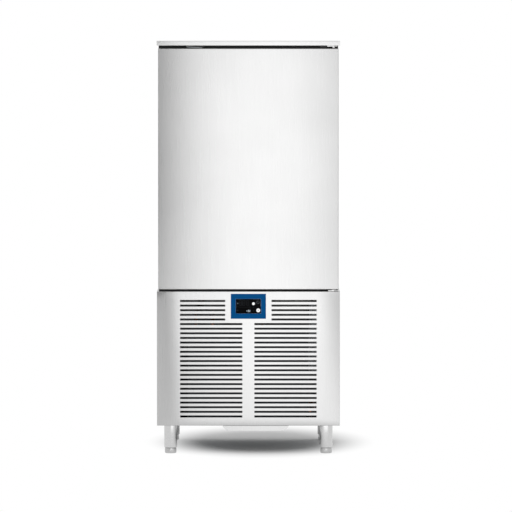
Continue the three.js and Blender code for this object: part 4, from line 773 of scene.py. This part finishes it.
upper_low, upper_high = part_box("upper_hinge_bracket")
lower_low, lower_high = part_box("lower_hinge_bracket")
PLATE_CORNER = 0.014
SEAT_GAP = 0.0026
COVER_WIDTH = 0.0312
for name, low, high, bottom, top in (
    ("upper_hinge_plate", upper_low, upper_high, upper_high.z - 0.0042, upper_high.z),
    ("lower_hinge_plate", lower_low, lower_high, lower_low.z, lower_low.z + 0.004),
):
    plan = [(low.x, high.y), (low.x, low.y), (hinge.x + 0.004, low.y)]
    plan += [(high.x, low.y + PLATE_CORNER), (high.x, high.y)]
    bm = bmesh.new()
    prism(bm, [(x, y, bottom) for x, y in plan], (0, 0, top - bottom))
    bracket = name.replace("plate", "bracket")
    add_piece(name, bm, polished_steel, replaces=[bracket], edge=0.0006)
pin = [(0, 0), (PIN_RADIUS - 0.001, 0), (PIN_RADIUS, 0.001)]
pin += [(PIN_RADIUS, upper_high.z - 0.003 - upper_low.z)]
turned("upper_hinge_pin", pin, at(hinge, upper_low.z), polished_steel, sides=32)
seat_top = door_low.z - SEAT_GAP
seat = [(0.011, lower_low.z + 0.003), (0.011, seat_top - 0.0006), (0.0104, seat_top)]
seat += [(PIN_RADIUS, seat_top), (PIN_RADIUS, lower_high.z - 0.001)]
seat += [(PIN_RADIUS - 0.001, lower_high.z), (0, lower_high.z)]
turned("lower_hinge_seat", seat, at(hinge, 0), polished_steel, sides=32)
bm = bmesh.new()
cover_low = (upper_low.x - COVER_WIDTH, upper_low.y + 0.001, upper_high.z - 0.0092)
block(bm, cover_low, (upper_low.x - 0.0004, upper_high.y - 0.001, upper_high.z - 0.0002))
add_piece("hinge_side_cover", bm, black_plastic, edge=0.0012)

# ---------------------------------------------------------------- door switch
# A black wedge under the roof's lip, with a grey wear strip along the slope that the door
# passes. It tells the control when the door is open.

switch_low, switch_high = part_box("door_switch")
STRIP_DEPTH = 0.0028
STRIP_END = 0.006
slope = [
    (switch_low.x, switch_high.z - 0.007),
    (switch_high.x - 0.012, switch_low.z),
    (switch_high.x, switch_low.z),
]
bm = bmesh.new()
housing = [(x, z + STRIP_DEPTH) for x, z in slope]
housing += [(switch_high.x, switch_high.z), (switch_low.x, switch_high.z)]
prism(bm, [(x, switch_low.y, z) for x, z in housing], (0, switch_high.y - switch_low.y, 0))
add_piece("switch_housing", bm, black_plastic, replaces=["door_switch"], edge=0.0005)
bm = bmesh.new()
strip = slope + [(x, z + STRIP_DEPTH) for x, z in reversed(slope[:2])]
strip[2] = (switch_high.x - STRIP_END, switch_low.z)
strip.insert(3, (switch_high.x - STRIP_END, switch_low.z + STRIP_DEPTH))
breadth = switch_high.y - switch_low.y - 0.002
prism(bm, [(x, switch_low.y + 0.001, z) for x, z in strip], (0, breadth, 0))
add_piece("switch_strip", bm, grey_plastic, edge=0.0003)

# ---------------------------------------------------------------- base front panel
# One folded sheet across the base, laser-cut with two banks of level slots and the window
# of the controls. Its edges turn back to the sides, where hidden screws hold it.

grille_low, grille_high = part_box("front_grille_panel")
fascia_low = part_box("control_fascia")[0]
window_low, window_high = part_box("display_window")
SLOT_PITCH = 0.020
SLOT_HEIGHT = 0.009
FIRST_SLOT = 0.041
SLOT_ROWS = 26
SLOT_INNER = 0.026
SLOT_OUTER = 0.295
SHORT_SLOT_INNER = 0.1
WINDOW_LAP = 0.001
bm = bmesh.new()
block(bm, grille_low, grille_high)
open_side(bm, 1, grille_high.y)
soften(bm, edges_where(bm, lambda co: co.y < grille_low.y + NEAR), 0.002)
slots = []
for row in range(SLOT_ROWS):
    middle = grille_high.z - FIRST_SLOT - row * SLOT_PITCH
    span = (middle - SLOT_HEIGHT / 2, middle + SLOT_HEIGHT / 2)
    inner = SHORT_SLOT_INNER if span[1] > fascia_low.z else SLOT_INNER
    slots += [[(-SLOT_OUTER, -inner), span], [(inner, SLOT_OUTER), span]]
across, up = [(window_low[i] + WINDOW_LAP, window_high[i] - WINDOW_LAP) for i in (0, 2)]
slots.append([across, up])
cut_openings(bm, 1, grille_low.y, slots)
add_piece("grille", bm, satin_stainless, replaces=["front_grille_panel"], wall=SHEET, edge=0.0002)

# ---------------------------------------------------------------- controls
# A blue plate frames a black glass window with two white push buttons. Behind the glass the
# printed marks are dim, and only a short row of figures is lit.

# Painted and printed plate: a deep even blue that hardly reflects.
blue_fascia = surface("blue_fascia", "004274", 0.45, grain=(600, 600, 600), relief=4e-6,
                      **{"Specular IOR Level": 0.03})
refined("control_fascia", blue_fascia, edge=0.0006)
# Smoked glass: all but black, so that only what is printed or lit behind it shows.
black_window = surface("black_window", "030304", 0.3, spread=0.03, relief=2e-6,
                       **{"Specular IOR Level": 0.02})
BUTTON_PLAY = 0.00035
buttons = []
for name, radius in (("start_button", 0.0082), ("power_button", 0.006)):
    place = centre_of(name)
    place.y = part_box(name)[0].y
    buttons.append((name, radius, place))
bm = bmesh.new()
holes = [circle(place.x, place.z, radius + BUTTON_PLAY) for _, radius, place in buttons]
pane = rectangle((window_low.x, window_low.z), (window_high.x, window_high.z), 0.0006)
plate(bm, [pane, *holes], window_low.y, window_high.y)
add_piece("window_pane", bm, black_window, replaces=["display_window"], edge=0.0003)
# Moulded white ABS, with a soft gloss.
white_plastic = surface("white_plastic", "E9EAE9", 0.35)
for name, radius, place in buttons:
    cap = [(0, 0.0003), (radius * 0.55, 0.0002), (radius - 0.0014, 0), (radius - 0.0006, 0.0001)]
    cap += [(radius, 0.0007), (radius, 0.003), (radius + 0.0008, 0.003), (radius + 0.0008, 0.004)]
    cap += [(0.004, 0.004), (0.004, 0.006), (0, 0.006)]
    turned(name + "_cap", cap, place, white_plastic, name, [name], (0, 1, 0))
# A grey spot printed on the white cap.
start_mark = surface("start_mark", "77797B", 0.5, slot="white_plastic")
START_MARK_RADIUS = 0.0024
place = buttons[0][2]
bm = bmesh.new()
spot = circle(place.x, place.z, START_MARK_RADIUS, 24)
prism(bm, [(x, place.y + 0.00012, z) for x, z in spot], (0, 0.0003, 0))
add_piece("start_button_mark", bm, start_mark, "start_button")
refined("control_housing", grey_plastic)


def stroke(points, width):
    """The loop round a line of one width."""
    left, right = [], []
    for i, (x, z) in enumerate(points):
        ahead = Vector(points[min(i + 1, len(points) - 1)]) - Vector(points[max(i - 1, 0)])
        aside = Vector((-ahead.y, ahead.x)).normalized() * width / 2
        left.append((x + aside.x, z + aside.y))
        right.append((x - aside.x, z - aside.y))
    return left + right[::-1]


def arc(x, z, radius, start, end, width, steps=16):
    """A curved stroke between two angles in degrees."""
    turns = [math.radians(start + (end - start) * step / steps) for step in range(steps + 1)]
    return stroke([(x + radius * math.cos(t), z + radius * math.sin(t)) for t in turns], width)


def figure(lit, x, z, width, height, line):
    """The lit bars of one seven-bar figure, named a to g from its top clockwise."""
    left, right = x + line / 2, x + width - line / 2
    low, middle, top = z + line / 2, z + height / 2, z + height - line / 2
    bars = {
        "a": ((left, top), (right, top)),
        "b": ((right, top), (right, middle)),
        "c": ((right, middle), (right, low)),
        "d": ((left, low), (right, low)),
        "e": ((left, low), (left, middle)),
        "f": ((left, middle), (left, top)),
        "g": ((left, middle), (right, middle)),
    }
    made = []
    for bar in lit:
        start, end = (Vector(point) for point in bars[bar])
        trim = (end - start).normalized() * line * 0.6
        made.append(stroke([tuple(start + trim), tuple(end - trim)], line))
    return made


def add_marks(name, loops, material):
    """Prints marks on the window's face, each one a closed loop."""
    bm = bmesh.new()
    for loop in loops:
        prism(bm, [(x, window_low.y - 0.00006, z) for x, z in loop], (0, 0.0001, 0))
    add_piece(name, bm, material)


# Prints behind the glass: two that only just show, and one lit from behind.
dim_print, pale_print, lit_print = [
    surface(name, colour, 0.4, slot="black_window", **{"Specular IOR Level": 0.05}, **lighting)
    for name, colour, lighting in (
        ("dim_print", "1E2124", {}),
        ("pale_print", "5A5F63", {}),
        ("lit_print", "D8E4EC", {"Emission Color": linear("C8DCE8"), "Emission Strength": 0.35}),
    )
]
marks = [rectangle((-0.050, 0.6385), (-0.042, 0.6398))]
marks += [rectangle((-0.0409, 0.635), (0.0082, 0.6358))]
marks += [[(-0.0499, 0.6217), (-0.0461, 0.6179), (-0.0423, 0.6217), (-0.0461, 0.6255)]]
marks += [circle(0.022, 0.636, 0.0022, 20), [(0.0192, 0.6187), (0.0248, 0.6187), (0.022, 0.6237)]]
marks += [stroke([(0.0058, 0.6424), (0.0072, 0.634), (0.0098, 0.624), (0.0138, 0.6105)], 0.0008)]
marks += [arc(0.0427, 0.6225, 0.0125, 95, 215, 0.0008)]
marks += [arc(0.0417, 0.657, 0.0095, start, start + 24, 0.0016, 4) for start in range(-30, 211, 40)]
for place in (-0.0395, -0.0255, -0.0085):
    marks += figure("abcdefg", place, 0.6425, 0.0115, 0.0235, 0.0017)
add_marks("display_dim_marks", marks, dim_print)
add_marks(
    "display_pale_marks",
    [circle(-0.0461, 0.6523, 0.0026, 24), arc(0.0417, 0.657, 0.0055, 60, 390, 0.0011)],
    pale_print,
)
lit = figure("bc", -0.0112, 0.6157, 0.0045, 0.0088, 0.0009)
lit += [rectangle((-0.0049, z), (-0.004, z + 0.0009)) for z in (0.6178, 0.6217)]
lit += figure("abcdg", -0.0026, 0.6157, 0.0045, 0.0088, 0.0009)
lit += figure("abcdef", 0.0034, 0.6157, 0.0045, 0.0088, 0.0009)
add_marks("display_figures", lit, lit_print)

# ---------------------------------------------------------------- base sides, back and floors
# Folded stainless sides and a slotted back stand round a galvanised floor pan with two rails
# for the drip tray. A stainless deck closes the top under the cell. Inside, painted shade darkens
# them.

# The grain of each sheet, and the way to the base's inside, where its faces get painted shade.
for sheet, grain, inside in (
    ("base_left_panel", UPRIGHT_GRAIN, (1, 0, 0)),
    ("base_right_panel", UPRIGHT_GRAIN, (-1, 0, 0)),
    ("base_rear_panel", UPRIGHT_GRAIN, (0, -1, 0)),
    ("base_deck", LEVEL_GRAIN, (0, 0, -1)),
):
    refined(sheet, stainless(sheet + "_stainless", grain, inside))
refined("base_tray", galvanised_steel)
back_low, back_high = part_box("base_rear_panel")
skin_low, skin_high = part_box("rear_panel")
SCREW_INSET = 0.012
END_INSET = 0.02
REAR_SCREW_X = 0.13
bm = bmesh.new()
for low, high, rows in ((back_low, back_high, 3), (skin_low, skin_high, 5)):
    for x in (low.x + SCREW_INSET, high.x - SCREW_INSET):
        for row in range(rows):
            height = low.z + END_INSET + (high.z - low.z - 2 * END_INSET) * row / (rows - 1)
            screw(bm, (x, high.y, height), (0, 1, 0))
    for x in (-REAR_SCREW_X, REAR_SCREW_X):
        for height in (low.z + SCREW_INSET, high.z - SCREW_INSET):
            screw(bm, (x, high.y, height), (0, 1, 0))
add_piece("rear_screws", bm, polished_steel)

# ---------------------------------------------------------------- condenser
# A coil with dark coated aluminium fins. A fan draws air through it from inside the black
# painted shroud that is fixed behind it.

# Sprayed black paint, with a half gloss and a slight orange peel.
black_paint = surface("black_paint", "17181A", 0.5, grain=(400, 400, 400))
# Aluminium fins under a thin dark coat, which dulls their shine.
coated_fins = surface("coated_fins", "444649", 0.55, 0.6, grain=(900, 60, 60),
                      slot="finned_aluminium")
finned_coil("condenser_coil", coated_fins, depth=0.06, pitch=0.003)
refined("condenser_shroud", black_paint, edge=0.0006, angle=40)
impeller("condenser_fan_blade", bore=0.0063, hub_radius=0.040, hub_depth=0.020)
motor("condenser_fan_motor", radius=0.048, depth=0.076, shaft_radius=0.006)

# ---------------------------------------------------------------- compressor
# A welded hermetic shell on a plate with four grommets. Its terminals sit behind a cover, and
# short stubs take the lines. All of it is painted black.

refined("compressor", black_paint, edge=0.001, angle=40)

# ---------------------------------------------------------------- receiver and filter drier
# A painted steel tank holds the liquid. Its inlet comes round from the condenser, and a copper
# filter drier stands over its outlet.

# Drawn copper: reddish brown, with a smooth sheen.
copper = surface("copper", "8E5F48", 0.3, 1.0, grain=(120, 120, 120))
LIQUID_RADIUS = 0.006
LIQUID_BEND = 0.02
drier_low, drier_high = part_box("filter_drier")
drier = centre_of("filter_drier")
tank_low, tank_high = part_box("liquid_receiver")
TANK_HEIGHT = 0.255
INLET_RISE = 0.055
tank_top = tank_low.z + TANK_HEIGHT
tank = [(0.049, 0), (0.049, 0.017), (0.053, 0.019), (0.0565, 0.023), (0.058, 0.029)]
tank += [(0.058, 0.226), (0.0555, 0.234), (0.049, 0.242), (0.036, 0.249), (0.017, 0.254)]
tank += [(0, TANK_HEIGHT)]
turned("receiver_tank", tank, at(drier, tank_low.z), black_paint, replaces=["liquid_receiver"])
bm = bmesh.new()
level = tank_low.z + INLET_RISE
elbow_x = tank_high.x - LIQUID_RADIUS
elbow_y = tank_low.y + LIQUID_RADIUS
coil_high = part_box("condenser_coil")[1]
coil_x = coil_high.x + FIT
inlet = [(drier.x + 0.04, drier.y, level), (elbow_x, drier.y, level), (elbow_x, elbow_y, level)]
tube(bm, inlet + [(coil_x, elbow_y, level)], LIQUID_RADIUS, LIQUID_BEND)
tube(bm, [at(drier, tank_top - 0.01), at(drier, tank_high.z)], LIQUID_RADIUS)
add_piece("receiver_pipes", bm, copper)
NECK = 0.0075
can = [(0, 0), (NECK, 0), (NECK, 0.012), (0.016, 0.018), (0.0245, 0.024), (0.026, 0.028)]
can += [(radius, drier_high.z - drier_low.z - rise) for radius, rise in reversed(can)]
turned("drier_can", can, at(drier, drier_low.z), copper, replaces=["filter_drier"])

# ---------------------------------------------------------------- refrigerant lines
# Soft-drawn copper: hot gas from the compressor to the condenser, liquid up from the drier,
# and the wider suction line down from the evaporator.

SUCTION_RADIUS = 0.008
DISCHARGE_RADIUS = 0.007
WIDE_BEND = 0.04


def pipe_piece(kind, route, radius, bend):
    """A line of the refrigerant circuit, as a bent pipe."""
    bm = bmesh.new()
    tube(bm, route, radius, bend, 16)
    add_piece(kind + "_pipe", bm, copper, replaces=[kind + "_line"])


low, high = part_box("suction_line")
foot = (low.x + SUCTION_RADIUS, low.y + SUCTION_RADIUS)
riser = (high.x - SUCTION_RADIUS, high.y - SUCTION_RADIUS)
level = (low.z + back_high.z + FIT) / 2
route = [(*foot, low.z), (*foot, level), (*riser, level + WIDE_BEND), (*riser, high.z)]
pipe_piece("suction", route, SUCTION_RADIUS, WIDE_BEND)
low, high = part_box("discharge_line")
x = (low.x + high.x) / 2
front, rear = low.y + DISCHARGE_RADIUS, high.y - DISCHARGE_RADIUS
top = high.z - DISCHARGE_RADIUS
route = [(x, rear, low.z), (x, rear, top), (x, front, top), (x, front, coil_high.z + FIT)]
pipe_piece("discharge", route, DISCHARGE_RADIUS, WIDE_BEND)
low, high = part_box("liquid_line")
riser = (high.x - LIQUID_RADIUS, high.y - LIQUID_RADIUS)
level = (low.z + back_high.z + FIT) / 2
route = [at(drier, low.z), at(drier, level), (*riser, level), (*riser, high.z)]
pipe_piece("liquid", route, LIQUID_RADIUS, LIQUID_BEND)

# ---------------------------------------------------------------- electrical box and cable gland
# A lidded galvanised box on the base's right side, and a black gland with a hexagon nut where
# the mains cable comes in through the back.

refined("electrical_box", galvanised_steel)
box_low, box_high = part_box("electrical_box")
bm = bmesh.new()
for y in (box_low.y + SCREW_INSET, box_high.y - SCREW_INSET):
    for height in (box_low.z + SCREW_INSET, box_high.z - SCREW_INSET):
        screw(bm, (box_low.x, y, height), (-1, 0, 0))
add_piece("box_screws", bm, polished_steel)
gland_low, gland_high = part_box("cable_gland")
gland = centre_of("cable_gland")
GLAND_BORE = 0.005
GLAND_RADIUS = 0.010
GLAND_NUT = 0.015
NUT_DEPTH = 0.0095
bm = bmesh.new()
stem = [(GLAND_BORE, gland_low.y), (GLAND_RADIUS, gland_low.y)]
stem += [(GLAND_RADIUS, gland_high.y - 0.006), (GLAND_RADIUS - 0.001, gland_high.y - 0.003)]
stem += [(GLAND_RADIUS - 0.0035, gland_high.y), (GLAND_BORE, gland_high.y), stem[0]]
lathe(bm, stem, (gland.x, 0, gland.z), (0, 1, 0))
hexagon = circle(gland.x, gland.z, GLAND_NUT, 6)
prism(bm, [(x, back_high.y + FIT, z) for x, z in hexagon], (0, NUT_DEPTH, 0))
add_piece("gland_body", bm, black_plastic, replaces=["cable_gland"], edge=0.0004)

# ---------------------------------------------------------------- drip tray
# A stainless trough with slanted lower corners and side flanges that slide on the floor pan's
# rails, behind a face whose lower corners are rounded.

tray_low, tray_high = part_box("drip_tray")
TRAY_BEVEL = 0.0185
TROUGH_INSET = 0.013
TROUGH_BEVEL = 0.014
TRAY_FLANGE = 0.011
FLANGE_DROP = 0.0046
FACE_ROUND = 0.012
TROUGH_ROUND = 0.004


def tray_section(low_x, high_x, bevel, bottom, top):
    """The outline of upright sides over slanted lower corners."""
    return [
        (low_x, top), (low_x, bottom + bevel), (low_x + bevel, bottom),
        (high_x - bevel, bottom), (high_x, bottom + bevel), (high_x, top),
    ]


def edges_back(bm, test):
    """The edges that run from front to back and whose ends pass a test."""
    return [e for e in edges_where(bm, test) if abs(e.verts[0].co.y - e.verts[1].co.y) > NEAR]


bm = bmesh.new()
face = tray_section(tray_low.x, tray_high.x, TRAY_BEVEL, tray_low.z, tray_high.z)
prism(bm, [(x, tray_low.y, z) for x, z in face], (0, SHEET, 0))
soften(bm, edges_back(bm, lambda co: co.z < tray_low.z + NEAR), FACE_ROUND, 6)
add_piece("tray_face", bm, satin_stainless, "drip_tray", ["drip_tray"], edge=0.0004)
flange_top = tray_high.z - FLANGE_DROP
trough = (tray_low.x + TROUGH_INSET, tray_high.x - TROUGH_INSET)
section = tray_section(*trough, TROUGH_BEVEL, tray_low.z + SHEET, flange_top)
behind = tray_low.y + SHEET
bm = bmesh.new()
prism(bm, [(x, behind, z) for x, z in section], (0, tray_high.y - behind, 0))
open_side(bm, 2, flange_top)
soften(bm, edges_back(bm, lambda co: co.z < flange_top - NEAR), TROUGH_ROUND)
add_piece("tray_trough", bm, satin_stainless, "drip_tray", wall=SHEET)
bm = bmesh.new()
for wall, side in zip(trough, (-1, 1)):
    across = sorted((wall - side * SHEET, wall + side * TRAY_FLANGE))
    block(bm, (across[0], behind, flange_top - SHEET), (across[1], tray_high.y, flange_top))
add_piece("tray_flanges", bm, satin_stainless, "drip_tray", edge=0.0003)

# ---------------------------------------------------------------- legs and feet
# Turned stainless legs under the base's corners, each with a screwed foot that levels it.
# The feet are ground to a duller finish than the legs.

# Ground stainless: as grey as the sheets, and duller than the legs.
ground_steel = surface("ground_steel", "B9B9B9", 0.4, 1.0, slot="polished_steel")
LEG_BORE = 0.0204
BORE_DEPTH = 0.06
FOOT_HEIGHT = 0.024
STEM_RADIUS = 0.02
for corner in ("front_left", "front_right", "rear_left", "rear_right"):
    low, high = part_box(corner + "_leg")
    foot_low, foot_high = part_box(corner + "_foot")
    middle = centre_of(corner + "_leg")
    radius, rise = (high.x - low.x) / 2, high.z - low.z
    leg = [(LEG_BORE, BORE_DEPTH), (LEG_BORE, 0), (radius - 0.002, 0), (radius - 0.0006, 0.0006)]
    leg += [(radius, 0.002), (radius, rise - 0.0015), (radius - 0.0015, rise), (0, rise)]
    name = corner + "_leg"
    turned(name + "_tube", leg, at(middle, low.z), polished_steel, replaces=[name], sides=64)
    radius = (foot_high.x - foot_low.x) / 2
    rim = [(radius - 0.004, 0), (radius - 0.0012, 0.0012), (radius, 0.004)]
    foot = [(0, 0), *rim, *[(far, FOOT_HEIGHT - rise) for far, rise in reversed(rim)]]
    foot += [(STEM_RADIUS, FOOT_HEIGHT), (STEM_RADIUS, foot_high.z - 0.002)]
    foot += [(STEM_RADIUS - 0.002, foot_high.z), (0, foot_high.z)]
    name = corner + "_foot"
    turned(name + "_screw", foot, at(middle, 0), ground_steel, name, [name], sides=64)

# ---------------------------------------------------------------- studio
# A plain pale floor that runs out to white, two soft lights in front, and a white surround.
# Beside the lights stand two dark screens, which only the steel's reflections show.


def stage_sheet(name, corners):
    """A flat four-cornered thing of the studio, with an empty material to fill."""
    mesh = bpy.data.meshes.new(name)
    mesh.from_pydata(corners, [], [(0, 1, 2, 3)])
    paint = bpy.data.materials.new(name + "_paint")
    paint.use_nodes = True
    paint.node_tree.nodes.clear()
    mesh.materials.append(paint)
    sheet = bpy.data.objects.new(name, mesh)
    scene.collection.objects.link(sheet)
    return sheet, paint


FLOOR_REACH = 12.0
FADE_SCALE = (1.9, 1.1, 1)
FADE_CENTRE = (0.1, 0.27, 0)
FADE_START = 0.45
FADE_END = 1.0
corners = [(x * FLOOR_REACH, y * FLOOR_REACH, 0) for x, y in ((-1, -1), (1, -1), (1, 1), (-1, 1))]
paint = stage_sheet("floor", corners)[1]
place = node(paint, "TexCoord").outputs["Object"]
place = node(paint, "Mapping", {"Vector": place, "Scale": FADE_SCALE}).outputs["Vector"]
reach = node(paint, "VectorMath", {0: place, 1: FADE_CENTRE}, operation="DISTANCE").outputs["Value"]
ends = {"Value": reach, "From Min": FADE_START, "From Max": FADE_END}
fade = node(paint, "MapRange", ends, interpolation_type="SMOOTHSTEP").outputs["Result"]
pale = node(paint, "BsdfDiffuse", {"Color": linear("CFCFCF")}).outputs["BSDF"]
glow = node(paint, "Emission", {"Color": linear("FFFFFF")}).outputs["Emission"]
mixed = node(paint, "MixShader", {0: fade, 1: pale, 2: glow}).outputs["Shader"]
node(paint, "OutputMaterial", {"Surface": mixed})

LIGHT_Y = -2.2
# Each light's left and right edges, its front and rear ones in y and z, and its watts.
for name, left, right, near, far, power in (
    ("tall_light", -0.48, 0.56, (LIGHT_Y, 0.35), (LIGHT_Y, 2.3), 7.2),
    ("low_light", -0.28, 0.74, (-0.9, 0.01), (-2.15, 0.42), 3.3),
):
    start, end = Vector((left, *near)), Vector((right, *far))
    rise = end - start
    strip = bpy.data.lights.new(name, "AREA")
    strip.shape = "RECTANGLE"
    strip.size = rise.x
    strip.size_y = math.hypot(rise.y, rise.z)
    strip.energy = power
    light = bpy.data.objects.new(name, strip)
    light.location = (start + end) / 2
    light.rotation_euler = (math.atan2(rise.z, rise.y), 0, 0)
    light.visible_camera = False
    scene.collection.objects.link(light)

SCREEN_EDGE = -0.49
for name, left, low, high in (("tall_flag", -1.6, 0.75, 2.4), ("low_flag", -0.66, 0.1, 0.75)):
    outline = ((left, low), (SCREEN_EDGE, low), (SCREEN_EDGE, high), (left, high))
    flag, paint = stage_sheet(name, [(x, LIGHT_Y, z) for x, z in outline])
    flag.visible_camera = flag.visible_diffuse = False
    flag.visible_shadow = flag.visible_transmission = False
    dark = node(paint, "BsdfDiffuse", {"Color": linear("202020")}).outputs["BSDF"]
    node(paint, "OutputMaterial", {"Surface": dark})

world = bpy.data.worlds.new("surround")
scene.world = world
world.use_nodes = True
world.node_tree.nodes.clear()
ray = node(world, "LightPath").outputs
seen = node(world, "Math", {0: ray["Is Camera Ray"], 1: ray["Is Glossy Ray"]}, operation="ADD")
rays = {0: seen.outputs["Value"], 1: ray["Is Transmission Ray"]}
seen = node(world, "Math", rays, operation="ADD", use_clamp=True).outputs["Value"]
soft, white = [
    node(world, "Background", {"Color": linear("FFFFFF"), "Strength": level}).outputs["Background"]
    for level in (0.95, 1.0)
]
both = node(world, "MixShader", {0: seen, 1: soft, 2: white})
node(world, "OutputWorld", {"Surface": both.outputs["Shader"]})
